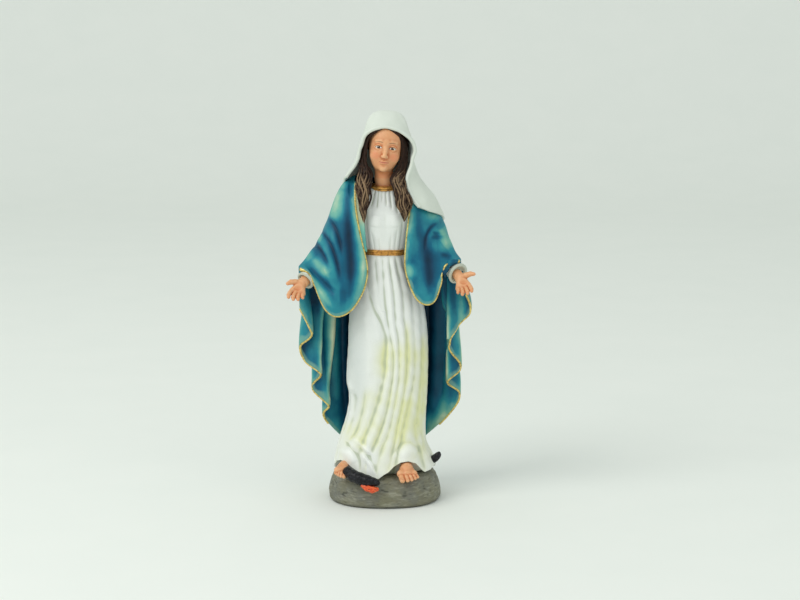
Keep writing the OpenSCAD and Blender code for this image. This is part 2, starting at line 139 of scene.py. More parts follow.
def gridFaces(rows, columns, around=False):
    i, j = np.meshgrid(np.arange(rows - 1), np.arange(columns if around else columns - 1), indexing="ij")
    k = (j + 1) % columns
    corners = [i * columns + j, (i + 1) * columns + j, (i + 1) * columns + k, i * columns + k]
    return np.stack(corners, -1).reshape(-1, 4)


class Solid:  # collects points, faces and values, and becomes one mesh object
    def __init__(self):
        self.points, self.quads, self.tris, self.values, self.count = [], [], [], {}, 0

    def add(self, points, quads=None, tris=None, **values):
        points = np.asarray(points, float).reshape(-1, 3)
        for faces, store in ((quads, self.quads), (tris, self.tris)):
            if faces is not None and len(faces):
                store.append(np.asarray(faces, int) + self.count)
        for name in set(self.values) | set(values):
            width = 3 if name == "faceAt" else 1
            before = self.values.setdefault(name, [np.zeros((self.count, width))])
            here = values.get(name, 0)
            here = np.asarray(here, float).reshape(-1, width) if np.size(here) > 1 else here
            before.append(np.broadcast_to(here, (len(points), width)))
        self.points.append(points)
        self.count += len(points)
        return self

    def loft(self, rings, flip=False, **values):  # closed tube through rings (rows, around, 3)
        rings = np.asarray(rings, float)
        rows, around = rings.shape[:2]
        quads = gridFaces(rows, around, True)
        ends = np.stack([rings[0].mean(0), rings[-1].mean(0)])
        j = np.arange(around)
        k = (j + 1) % around
        first, last = (np.full(around, rows * around + end) for end in (0, 1))
        lastRow = (rows - 1) * around
        tris = np.concatenate([np.stack([first, j, k], 1), np.stack([last, lastRow + k, lastRow + j], 1)])
        if flip:
            quads, tris = quads[:, ::-1], tris[:, ::-1]
        full = {}
        for name, v in values.items():
            v = np.broadcast_to(np.asarray(v, float), (rows, around))
            full[name] = np.concatenate([v.ravel(), [v[0].mean(), v[-1].mean()]])
        return self.add(np.concatenate([rings.reshape(-1, 3), ends]), quads, tris, **full)

    def build(self, name, finish, slot, *nodes):
        points = np.concatenate(self.points) * mm
        quads = np.concatenate(self.quads) if self.quads else np.zeros((0, 4), int)
        tris = np.concatenate(self.tris) if self.tris else np.zeros((0, 3), int)
        mesh = bpy.data.meshes.new(name)
        mesh.vertices.add(len(points))
        mesh.vertices.foreach_set("co", points.astype(np.float32).ravel())
        sizes = np.concatenate([np.full(len(quads), 4), np.full(len(tris), 3)])
        mesh.loops.add(int(sizes.sum()))
        mesh.loops.foreach_set("vertex_index", np.concatenate([quads.ravel(), tris.ravel()]).astype(np.int32))
        mesh.polygons.add(len(sizes))
        mesh.polygons.foreach_set("loop_start", np.concatenate([[0], np.cumsum(sizes)[:-1]]).astype(np.int32))
        mesh.update(calc_edges=True)
        mesh.polygons.foreach_set("use_smooth", np.ones(len(sizes), bool))
        for key, parts in self.values.items():
            values = np.concatenate(parts).astype(np.float32)
            layer = mesh.attributes.new(key, "FLOAT_VECTOR" if values.shape[1] == 3 else "FLOAT", "POINT")
            layer.data.foreach_set("vector" if values.shape[1] == 3 else "value", values.ravel())
        mesh.validate()
        mesh.materials.append(finish.material)
        piece = bpy.data.objects.new(name, mesh)
        bpy.context.scene.collection.objects.link(piece)
        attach(piece, "root")
        if nodes:
            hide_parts(*nodes)
        print("made", name, len(points), "points")
        return piece


def cloth(points, faces, thickness):  # a shell of cloth whose two faces meet at its edge
    a, b, c, d = (points[faces[:, k]] for k in range(4))
    facing = np.cross(c - a, d - b)
    normals = np.zeros_like(points)
    for k in range(4):
        np.add.at(normals, faces[:, k], facing)
    normals = unit(normals)
    edges = np.sort(np.concatenate([faces[:, [k, (k + 1) % 4]] for k in range(4)]), 1)
    edges = edges[edges[:, 0] != edges[:, 1]]
    each, times = np.unique(edges, axis=0, return_counts=True)
    rim = np.unique(each[times == 1])
    onRim = np.zeros(len(points), bool)
    onRim[rim] = True
    back = np.arange(len(points)) + len(points)
    back[onRim] = np.arange(len(points))[onRim]
    inner = points - thickness * normals
    outer = points.copy()
    outer[onRim] -= normals[onRim] * thickness / 2
    return np.concatenate([outer, inner]), np.concatenate([faces, back[faces][:, ::-1]])


def compact(points, quads):  # drops the points that no face uses, and the quads that are folded to nothing
    corners = np.sort(quads, 1)
    quads = quads[(corners[:, 1:] != corners[:, :-1]).sum(1) >= 2]
    used = np.unique(quads)
    place = np.full(len(points), -1)
    place[used] = np.arange(len(used))
    corners = np.sort(place[quads], 1)
    whole = (corners[:, 1:] != corners[:, :-1]).all(1)
    return points[used], place[quads][whole], used


def tubeRings(path, radius, sides, up=(0, -1, 0), flat=1.0):
    path = np.asarray(path, float)
    ahead = unit(np.gradient(path, axis=0))
    across = unit(np.cross(np.asarray(up, float), ahead))
    rise = np.cross(ahead, across)
    a = np.linspace(0, 2 * np.pi, sides, endpoint=False)
    radius = np.broadcast_to(np.asarray(radius, float), len(path))[:, None, None]
    c, n = np.cos(a)[None, :, None], np.sin(a)[None, :, None]
    return path[:, None] + radius * (across[:, None] * c + flat * rise[:, None] * n)


def rounded(n, share):  # 0 to 1 to 0 along a strand, blunt at both ends
    s = np.linspace(0, 1, n)
    return np.clip(np.minimum(s, 1 - s) / share, 0, 1) ** 0.5


def blend(a, b, k):  # two solid shapes run together, with a seam about k wide
    h = np.clip(0.5 + 0.5 * (b - a) / k, 0, 1)
    return b + (a - b) * h - k * h * (1 - h)


def carve(a, b, k):  # the second shape taken out of the first
    return -blend(-a, b, k)


def ball(p, middle, radii):
    q = p - np.asarray(middle, float)
    r = np.broadcast_to(np.asarray(radii, float), 3)
    near, far = np.linalg.norm(q / r, axis=-1), np.linalg.norm(q / (r * r), axis=-1)
    return near * (near - 1) / np.maximum(far, 1e-6)


def rod(p, a, b, ra, rb):
    a, b = np.asarray(a, float), np.asarray(b, float)
    way = b - a
    h = np.clip(((p - a) @ way) / (way @ way), 0, 1)
    return np.linalg.norm(p - a - h[..., None] * way, axis=-1) - (ra + (rb - ra) * h)


def bead(p, points, radii, k=0.3):  # rods from point to point, blended
    out = None
    for i in range(len(points) - 1):
        d = rod(p, points[i], points[i + 1], radii[i], radii[i + 1])
        out = d if out is None else blend(out, d, k)
    return out


def carved(shape, low, high, step):  # the surface where shape(p) is zero
    low, high = np.asarray(low, float), np.asarray(high, float)
    n = np.ceil((high - low) / step).astype(int) + 1
    axes = [low[k] + step * np.arange(n[k]) for k in range(3)]
    p = np.stack(np.meshgrid(*axes, indexing="ij"), -1)
    band = 4 * step
    field = np.clip(shape(p).astype(np.float32), -band, band)
    grid = openvdb.FloatGrid(band)
    grid.copyFromArray(field)
    points, quads = grid.convertToQuads(0.0)
    points = low + np.asarray(points, float) * step
    for _ in (0, 1):  # pull each point onto the exact surface
        h = step * 0.2
        value = shape(points)
        slope = np.stack([shape(points + v) - shape(points - v) for v in h * np.eye(3)], -1) / (2 * h)
        size = np.maximum((slope ** 2).sum(-1, keepdims=True), 0.3)
        points = points - np.clip(value[:, None] * slope / size, -0.5 * step, 0.5 * step)
    return points, np.asarray(quads, int)[:, ::-1]


class Value:  # a shader socket that takes part in sums
    def __init__(self, finish, socket):
        self.finish, self.socket = finish, socket

    def math(self, kind, a, b=0.0):
        return self.finish.node("ShaderNodeMath", {"operation": kind}, {0: a, 1: b})

    def __add__(self, other):
        return self.math("ADD", self, other)

    def __sub__(self, other):
        return self.math("SUBTRACT", self, other)

    def __rsub__(self, other):
        return self.math("SUBTRACT", other, self)

    def __mul__(self, other):
        return self.math("MULTIPLY", self, other)

    def __truediv__(self, other):
        return self.math("DIVIDE", self, other)

    def __pow__(self, other):
        return self.math("POWER", self, other)

    def __abs__(self):
        return self.math("ABSOLUTE", self)

    __radd__ = __add__
    __rmul__ = __mul__

    def most(self, other):
        return self.math("MAXIMUM", self, other)

    def least(self, other):
        return self.math("MINIMUM", self, other)

    def fade(self, low, high):  # eased from 0 at low to 1 at high
        return self.finish.node("ShaderNodeMapRange", {"interpolation_type": "SMOOTHSTEP"},
                                {"Value": self, "From Min": low, "From Max": high})


def tone(red, green, blue):  # a paint colour as seen, 0 to 255, turned into light
    seen = np.array([red, green, blue]) / 255
    return (*np.where(seen < 0.04045, seen / 12.92, ((seen + 0.055) / 1.055) ** 2.4), 1.0)


class Finish:  # one material, and short ways to add nodes to it
    def __init__(self, name, fixed):
        self.material = bpy.data.materials.new(name)
        self.material.use_nodes = True
        self.tree = self.material.node_tree
        self.shader = self.tree.nodes["Principled BSDF"]
        for socket, value in fixed.items():
            self.shader.inputs[socket].default_value = value
        coord = self.tree.nodes.new("ShaderNodeTexCoord")
        self.place = self.node("ShaderNodeVectorMath", {"operation": "SCALE"},
                               {0: Value(self, coord.outputs["Object"]), "Scale": 1 / mm})

    def node(self, kind, settings, sockets=None, out=0):
        made = self.tree.nodes.new(kind)
        for key, value in (settings or {}).items():
            if key == "stops":
                while len(made.color_ramp.elements) < len(value):
                    made.color_ramp.elements.new(0.5)
                for stop, (at, colour) in zip(made.color_ramp.elements, value):
                    stop.position, stop.color = at, colour
            else:
                setattr(made, key, value)
        for key, value in (sockets or {}).items():
            if isinstance(value, Value):
                self.tree.links.new(value.socket, made.inputs[key])
            else:
                made.inputs[key].default_value = value
        return Value(self, made.outputs[out])

    def value(self, name):  # a number that the mesh carries
        return self.node("ShaderNodeAttribute", {"attribute_name": name}, out=2)

    def axis(self, which, vector):
        return self.node("ShaderNodeSeparateXYZ", None, {0: vector}, out="XYZ".index(which))

    def mix(self, share, a, b):
        return self.node("ShaderNodeMix", {"data_type": "RGBA"}, {0: share, 6: a, 7: b}, out=2)

    def noise(self, scale, detail, roughness, stretch=None, distortion=0.0):
        where = self.place
        if stretch:
            where = self.node("ShaderNodeVectorMath", {"operation": "MULTIPLY"}, {0: where, 1: stretch})
        return self.node("ShaderNodeTexNoise", None, {"Vector": where, "Scale": scale, "Detail": detail,
                                                      "Roughness": roughness, "Distortion": distortion})

    def paint(self, socket, value):
        self.tree.links.new(value.socket, self.shader.inputs[socket])
        return self

    def bump(self, height, depth, strength):  # depth in drawn millimetres
        sockets = {"Strength": strength, "Distance": depth * mm, "Height": height}
        return self.paint("Normal", self.node("ShaderNodeBump", None, sockets))


def whitePaint(name, look):
    made = Finish(name, {"Roughness": look["gloss"], "IOR": 1.46, "Specular IOR Level": 0.45})
    fold, wash, dusk = made.value("fold"), made.value("wash"), made.value("dusk")
    cloudy = made.noise(0.16, 3, 0.55)
    fine = made.noise(2.2, 4, 0.6)
    spray = (wash * (0.75 + cloudy * 0.5)).fade(0.08, 1.05)
    colour = made.mix(spray, look["white"], look["wash"])
    # painted shade in the creases and painted highlight on the ridges, both from the fold value
    colour = made.mix((fold * -1).fade(0.12, 1.3) * look["creaseShare"], colour, look["crease"])
    colour = made.mix(fold.fade(0.2, 1.5) * 0.4, colour, look["ridge"])
    # painted shade: a value each mesh carries darkens the white towards the shade colour
    colour = made.mix(dusk.fade(0.05, 1) * 0.75, colour, look["shade"])
    colour = made.mix(fine.fade(0.45, 0.75) * 0.10, colour, look["crease"])
    made.paint("Base Color", colour)
    made.paint("Roughness", look["gloss"] + cloudy * 0.14 - 0.07)
    made.bump(fine * 0.5 + made.noise(0.7, 3, 0.5) * 0.8, 0.12, 0.35)
    return made


def mantlePaint(name, look):
    made = Finish(name, {"Roughness": 0.42, "IOR": 1.45, "Specular IOR Level": 0.25})
    fold, edge, shade = made.value("fold"), made.value("edge"), made.value("shade")
    cloudy = made.noise(0.11, 3, 0.55)
    streak = made.noise(0.9, 4, 0.6, (1, 1, 0.35))
    fine = made.noise(3.0, 3, 0.6)
    # painted shade in the folds and painted highlight on the ridges, plus the painted light and shadow strokes
    height = fold * 0.10 + shade + (cloudy - 0.5) * 0.30 + (streak - 0.5) * 0.06 + look["middle"]
    colour = made.node("ShaderNodeValToRGB", {"stops": look["stops"]}, {0: height.least(1).most(0)})
    colour = made.mix((edge * (0.7 + streak * 0.6)).fade(0.25, 1.0) * look["edgeShare"], colour, look["edge"])
    made.paint("Base Color", colour)
    made.paint("Roughness", 0.38 + cloudy * 0.16)
    made.bump(fine * 0.6 + streak * 0.8, 0.1, 0.4)
    return made


def giltPaint(name, look):
    made = Finish(name, {"Metallic": 0.6, "Roughness": 0.32})
    worn = made.noise(0.9, 4, 0.65)
    fine = made.noise(5.0, 3, 0.6)
    fold = made.value("fold")
    colour = made.mix(worn.fade(0.28, 0.58), look["deep"], look["gold"])
    # painted shade in the hollows of the gilt, from the fold value
    colour = made.mix((fold * -1).fade(0.1, 1.0), colour, look["crease"])
    colour = made.mix(fine.fade(0.6, 0.8) * 0.35, colour, look["glint"])
    made.paint("Base Color", colour)
    made.paint("Roughness", 0.24 + worn * 0.26)
    made.paint("Metallic", 0.62 - (worn.fade(0.55, 0.3) * 0.25))
    made.bump(fine * 0.5 + worn, 0.14, 0.5)
    return made


def rockPaint(name, look):
    made = Finish(name, {"Roughness": 0.7, "IOR": 1.45, "Specular IOR Level": 0.35})
    lump, rough = made.noise(0.12, 4, 0.6), made.noise(1.3, 5, 0.65)
    brush = made.noise(0.5, 5, 0.62, (0.55, 0.55, 2.6), 0.6)
    dab = made.noise(0.24, 4, 0.6, (0.6, 0.6, 1.8), 0.8)
    fold = made.value("fold")
    colour = made.mix(lump.fade(0.3, 0.7), look["grey"], look["olive"])
    colour = made.mix((brush * 0.6 + dab * 0.6).fade(0.56, 0.80) * 0.6, colour, look["pale"])
    colour = made.mix(brush.fade(0.42, 0.28) * 0.7, colour, look["dark"])
    # painted shade in the hollows of the stone, from the fold value
    colour = made.mix((fold * -1).fade(0.1, 1.2) * 0.7, colour, look["dark"])
    colour = made.mix(made.value("foot") * 0.75, colour, look["dark"])
    made.paint("Base Color", colour)
    made.paint("Roughness", 0.55 + rough * 0.3)
    made.bump(rough * 0.6 + brush * 0.7, 0.28, 0.6)
    return made


def hairPaint(name, look):
    made = Finish(name, {"Roughness": 0.5, "IOR": 1.46, "Specular IOR Level": 0.22})
    proud, worn = made.value("fold"), made.noise(0.7, 4, 0.6)
    fine = made.noise(4.0, 3, 0.6)
    lit = (proud * 1.4 + worn * 0.8 - 1.05 + made.value("dry") * 0.95).fade(0.2, 0.9)
    colour = made.mix(worn.fade(0.3, 0.7), look["dark"], look["brown"])
    colour = made.mix(lit * 0.8, colour, look["dry"])
    made.paint("Base Color", colour)
    made.paint("Roughness", 0.42 + worn * 0.2)
    made.bump(fine, 0.1, 0.5)
    return made


def fleshPaint(name, look, painted=False):
    made = Finish(name, {"Roughness": 0.42, "IOR": 1.45, "Specular IOR Level": 0.4,
                         "Subsurface Weight": 0.06, "Subsurface Scale": 1.5 * mm})
    made.shader.inputs["Subsurface Radius"].default_value = (1.0, 0.5, 0.3)
    fold, warm = made.value("fold"), made.value("warm")
    cloudy, fine = made.noise(0.5, 3, 0.5), made.noise(3.5, 3, 0.6)
    colour = made.mix(cloudy.fade(0.3, 0.7) * 0.5, look["skin"], look["light"])
    # painted shade in the hollows of the skin, from the fold value
    colour = made.mix((fold * -1).fade(0.1, 1.0) * 0.9, colour, look["crease"])
    # warm colour: painted shade under the chin and low on the neck, a warm tint on fingertips, palms and feet
    colour = made.mix(warm.fade(0, 1) * 0.8, colour, look["warm"])
    if painted:
        colour = facePaint(made, colour, look)
    made.paint("Base Color", colour)
    made.paint("Roughness", 0.36 + cloudy * 0.14)
    made.bump(fine * 0.5 + cloudy, 0.06, 0.3)
    return made


# brows, eyes, lips and blush laid over the flesh, in the face's own upright frame
def facePaint(made, colour, look):
    at = made.node("ShaderNodeAttribute", {"attribute_name": "faceAt"}, out=1)
    x, y, z = (made.axis(k, at) for k in "XYZ")
    side = abs(x)
    front = (y * -1).fade(9.0, 11.0)

    def spot(u, v, wide, high, soft):
        return ((abs((side - u) / wide) ** 2 + abs((z - v) / high) ** 2) * -1 + 1).fade(0, soft) * front

    blush = spot(4.8, 177.4, 3.0, 2.6, 0.9)
    colour = made.mix(blush * 0.5, colour, look["blush"])
    # painted shade in the hollow between each eye and brow
    hollow = spot(3.4, 182.9, 2.9, 1.2, 0.8)
    colour = made.mix(hollow * 0.25, colour, look["warm"])
    arch = z - (look["browZ"] - (side - 3.2) * (side - 3.2) * 0.07)  # brows as thin arches
    brow = (abs(arch) * -1 + (0.34 - abs(side - 2.6) * 0.07)).fade(0, 0.2) * side.fade(1.3, 2.0) * front
    colour = made.mix(brow * 0.7, colour, look["brow"])
    eye = look["eye"]
    u = side - eye["out"]
    upper = z - (eye["z"] + 0.82 - u * u * 0.28)
    lower = z - (eye["z"] - 0.52 + u * u * 0.18)
    opening = (upper * -1).fade(-0.03, 0.05) * lower.fade(-0.03, 0.05)
    opening = opening * (abs(u) * -1).fade(-1.72, -1.6) * front
    colour = made.mix(opening, colour, look["eyeWhite"])
    around = (u * u + (z - eye["z"]) * (z - eye["z"])) ** 0.5
    colour = made.mix((around * -1).fade(-0.84, -0.74) * opening, colour, look["iris"])
    colour = made.mix((around * -1).fade(-0.46, -0.38) * opening, colour, look["pupil"])
    aside, above = u - 0.28, z - eye["z"] - 0.3
    glint = (aside * aside + above * above) ** 0.5
    colour = made.mix((glint * -1).fade(-0.22, -0.14) * opening, colour, look["eyeWhite"])
    lash = (abs(upper) * -1 + 0.17).fade(0, 0.08) * (abs(u) * -1).fade(-1.85, -1.7) * front
    colour = made.mix(lash * 0.95, colour, look["lash"])
    under = (abs(lower) * -1 + 0.09).fade(0, 0.06) * (abs(u) * -1).fade(-1.75, -1.5) * front
    colour = made.mix(under * 0.5, colour, look["lash"])
    lipZ = look["lipZ"]
    bow = lipZ + 0.50 - abs(side - 0.6) * 0.19
    bottom = lipZ - 0.66 + side * side * 0.08
    lips = (bow - z).fade(-0.06, 0.10) * (z - bottom).fade(-0.06, 0.10)
    lips = lips * (side * -1).fade(-2.55, -2.2) * front
    colour = made.mix(lips * 0.65, colour, look["lips"])
    seam = (abs(z - lipZ - 0.04) * -1 + 0.13).fade(0, 0.09) * (side * -1).fade(-2.6, -2.1) * front
    return made.mix(seam * 0.75, colour, look["mouth"])


def blackPaint(name, look):
    made = Finish(name, {"Roughness": 0.25, "IOR": 1.48, "Specular IOR Level": 0.2, "Coat Weight": 0.12,
                         "Coat Roughness": 0.1})
    scaly = made.node("ShaderNodeTexVoronoi", {"feature": "DISTANCE_TO_EDGE"},
                      {"Vector": made.place, "Scale": 1.25})
    worn = made.noise(0.8, 4, 0.6)
    colour = made.mix(worn.fade(0.45, 0.7) * 0.6, look["black"], look["grey"])
    colour = made.mix((scaly * -1 + 0.09).fade(0, 0.08) * 0.5, colour, look["deep"])
    made.paint("Base Color", colour)
    made.paint("Roughness", 0.2 + worn * 0.2)
    made.bump(scaly.least(0.3) * 2 + worn * 0.3, 0.22, 0.7)
    return made


def mouthPaint(name, look):
    made = Finish(name, {"Roughness": 0.38, "IOR": 1.46, "Specular IOR Level": 0.4})
    worn = made.noise(0.9, 4, 0.6)
    dabs = made.noise(1.6, 2, 0.5)
    colour = made.mix(worn.fade(0.3, 0.7), look["red"], look["orange"])
    colour = made.mix(dabs.fade(0.62, 0.68) * 0.9, colour, look["black"])
    made.paint("Base Color", colour)
    made.paint("Roughness", 0.3 + worn * 0.2)
    made.bump(worn, 0.1, 0.4)
    return made


def feltCloth(name, look):
    made = Finish(name, {"Roughness": 0.95, "Sheen Weight": 0.4, "Sheen Roughness": 0.5,
                         "Specular IOR Level": 0.2})
    fibre, tuft = made.noise(6.0, 5, 0.7), made.noise(0.8, 4, 0.6)
    colour = made.mix(fibre.fade(0.35, 0.7), look["dark"], look["green"])
    colour = made.mix(tuft.fade(0.5, 0.8) * 0.4, colour, look["light"])
    made.paint("Base Color", colour)
    made.paint("Roughness", 0.85 + fibre * 0.12)
    made.bump(fibre + tuft * 0.5, 0.2, 0.9)
    return made


gownFinish = whitePaint("gownWhite", {
    "gloss": 0.40, "white": tone(228, 231, 227), "wash": tone(222, 224, 172), "crease": tone(168, 178, 152),
    "creaseShare": 0.7,
    "ridge": tone(242, 244, 240), "shade": tone(190, 198, 196)})
veilFinish = whitePaint("veilWhite", {
    "gloss": 0.46, "white": tone(211, 218, 207), "wash": tone(208, 218, 208), "crease": tone(190, 200, 190),
    "creaseShare": 0.5,
    "ridge": tone(224, 229, 221), "shade": tone(172, 180, 176)})
mantleFinish = mantlePaint("mantleTeal", {
    "stops": [(0.0, tone(2, 34, 54)), (0.2, tone(4, 58, 86)), (0.42, tone(12, 94, 122)),
              (0.6, tone(42, 136, 148)), (0.78, tone(112, 176, 160)), (0.96, tone(206, 216, 182))],
    "middle": 0.49, "edge": tone(128, 172, 150), "edgeShare": 0.6})
giltFinish = giltPaint("giltEdging", {
    "deep": tone(146, 116, 50), "gold": tone(232, 208, 124), "crease": tone(92, 66, 28),
    "glint": tone(255, 246, 196)})
bandFinish = giltPaint("giltBand", {
    "deep": tone(140, 82, 34), "gold": tone(222, 166, 84), "crease": tone(80, 42, 20),
    "glint": tone(255, 232, 170)})
rockFinish = rockPaint("rockGrey", {
    "grey": tone(112, 113, 104), "olive": tone(122, 120, 98), "pale": tone(164, 164, 148),
    "dark": tone(66, 67, 60)})
hairFinish = hairPaint("hairBrown", {"dark": tone(30, 18, 12), "brown": tone(54, 33, 22),
                                     "dry": tone(150, 124, 94)})
fleshLook = {
    "skin": tone(224, 168, 122), "light": tone(236, 188, 146), "crease": tone(188, 100, 54),
    "warm": tone(216, 134, 86), "blush": tone(218, 126, 90),
    "brow": tone(112, 74, 52), "eye": {"out": 3.5, "z": 181.6}, "browZ": 184.5,
    "eyeWhite": tone(230, 222, 210), "iris": tone(84, 56, 36), "pupil": tone(20, 14, 12),
    "lash": tone(58, 36, 28), "lipZ": 174.5, "lips": tone(198, 104, 84), "mouth": tone(136, 60, 52)}
fleshFinish = fleshPaint("flesh", fleshLook)
faceFinish = fleshPaint("face", fleshLook, painted=True)
snakeFinish = blackPaint("snakeBlack", {"black": tone(14, 14, 18), "grey": tone(56, 56, 64),
                                        "deep": tone(4, 4, 6)})
mouthFinish = mouthPaint("snakeMouth", {"red": tone(206, 66, 36), "orange": tone(236, 110, 60),
                                        "black": tone(24, 18, 18)})
feltFinish = feltCloth("padFelt", {"dark": tone(24, 52, 38), "green": tone(44, 82, 60),
                                   "light": tone(90, 120, 96)})
print("finishes ready")


rock = {
    "sections": [  # height, left, right, front, back
        [0.0, -27.2, 27.2, -25.4, 25.4], [0.5, -28.2, 28.2, -26.3, 26.3], [1.6, -28.7, 28.7, -26.9, 26.9],
        [4, -28.8, 28.8, -27, 27],
        [8, -28, 27.9, -26.2, 25.6], [11.5, -26.8, 26.6, -24.6, 23.6], [13.8, -25, 24.8, -22, 21.4],
        [15, -22.8, 22.4, -19, 18.8]],
    "square": 2.3, "lump": 0.42, "chip": 0.16}


def ovalRings(sections, t, angles, square=2.3):  # rings of a squared oval body, and the height of each
    s = spline(sections, t)
    c, n = np.cos(angles)[None], np.sin(angles)[None]
    out = (np.abs(c) ** square + np.abs(n) ** square) ** (-1 / square)
    left, right, front, back = (s[:, k][:, None] for k in (1, 2, 3, 4))
    x = (left + right) / 2 + (right - left) / 2 * c * out
    y = np.where(n < 0, -front, back) * n * out
    return np.stack([x, y, np.broadcast_to(s[:, :1], x.shape)], -1)


def makeRock(look):
    angles = np.linspace(0, 2 * np.pi, 420, endpoint=False)
    side = ovalRings(look["sections"], crowded(120, 0.5), angles, look["square"])
    top = [side[-1] * [1 - k, 1 - k, 1] + [0, 0, 0.5 * (1 - (1 - k) ** 2)]
           for k in np.linspace(0.03, 0.96, 36)]
    grid = np.concatenate([side, np.array(top)])
    normals = -gridNormals(grid, True)
    free = smooth(grid[..., 2], 0.3, 2.5) * (1 - 0.6 * smooth(grid[..., 2], 13.5, 15.2))
    bumps = look["lump"] * noise(grid, 13, 4) + look["chip"] * noise(grid * [1, 1, 1.8], 4.5, 9)
    ledge = -0.5 * bell(grid[..., 2] + 1.2 * noise(grid, 30, 2), 10.2, 1.0)  # a faint step in the stone
    grid = grid + normals * ((np.minimum(bumps, 0.12) + 0.3 * ledge) * free)[..., None]
    proud = relief(grid, normals, (5, 7), True)
    rim = grid[0] * [1, 1, 0]
    lip = np.array([rim * [k, k, 0] for k in (0.2, 0.75, 0.9, 0.985)])  # the underside
    grid = np.concatenate([lip, grid])
    proud = np.concatenate([np.zeros((len(lip), len(angles))), proud * 6])
    foot = 0.8 * (1 - smooth(grid[..., 2], 0.2, 2.2))
    solid = Solid().loft(grid, flip=True, fold=proud, foot=foot)
    return solid.build("rock", rockFinish, "rock", "rock_base")


makeRock(rock)
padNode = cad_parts["base_pad"]
padNode.data.materials.clear()
padNode.data.materials.append(feltFinish.material)


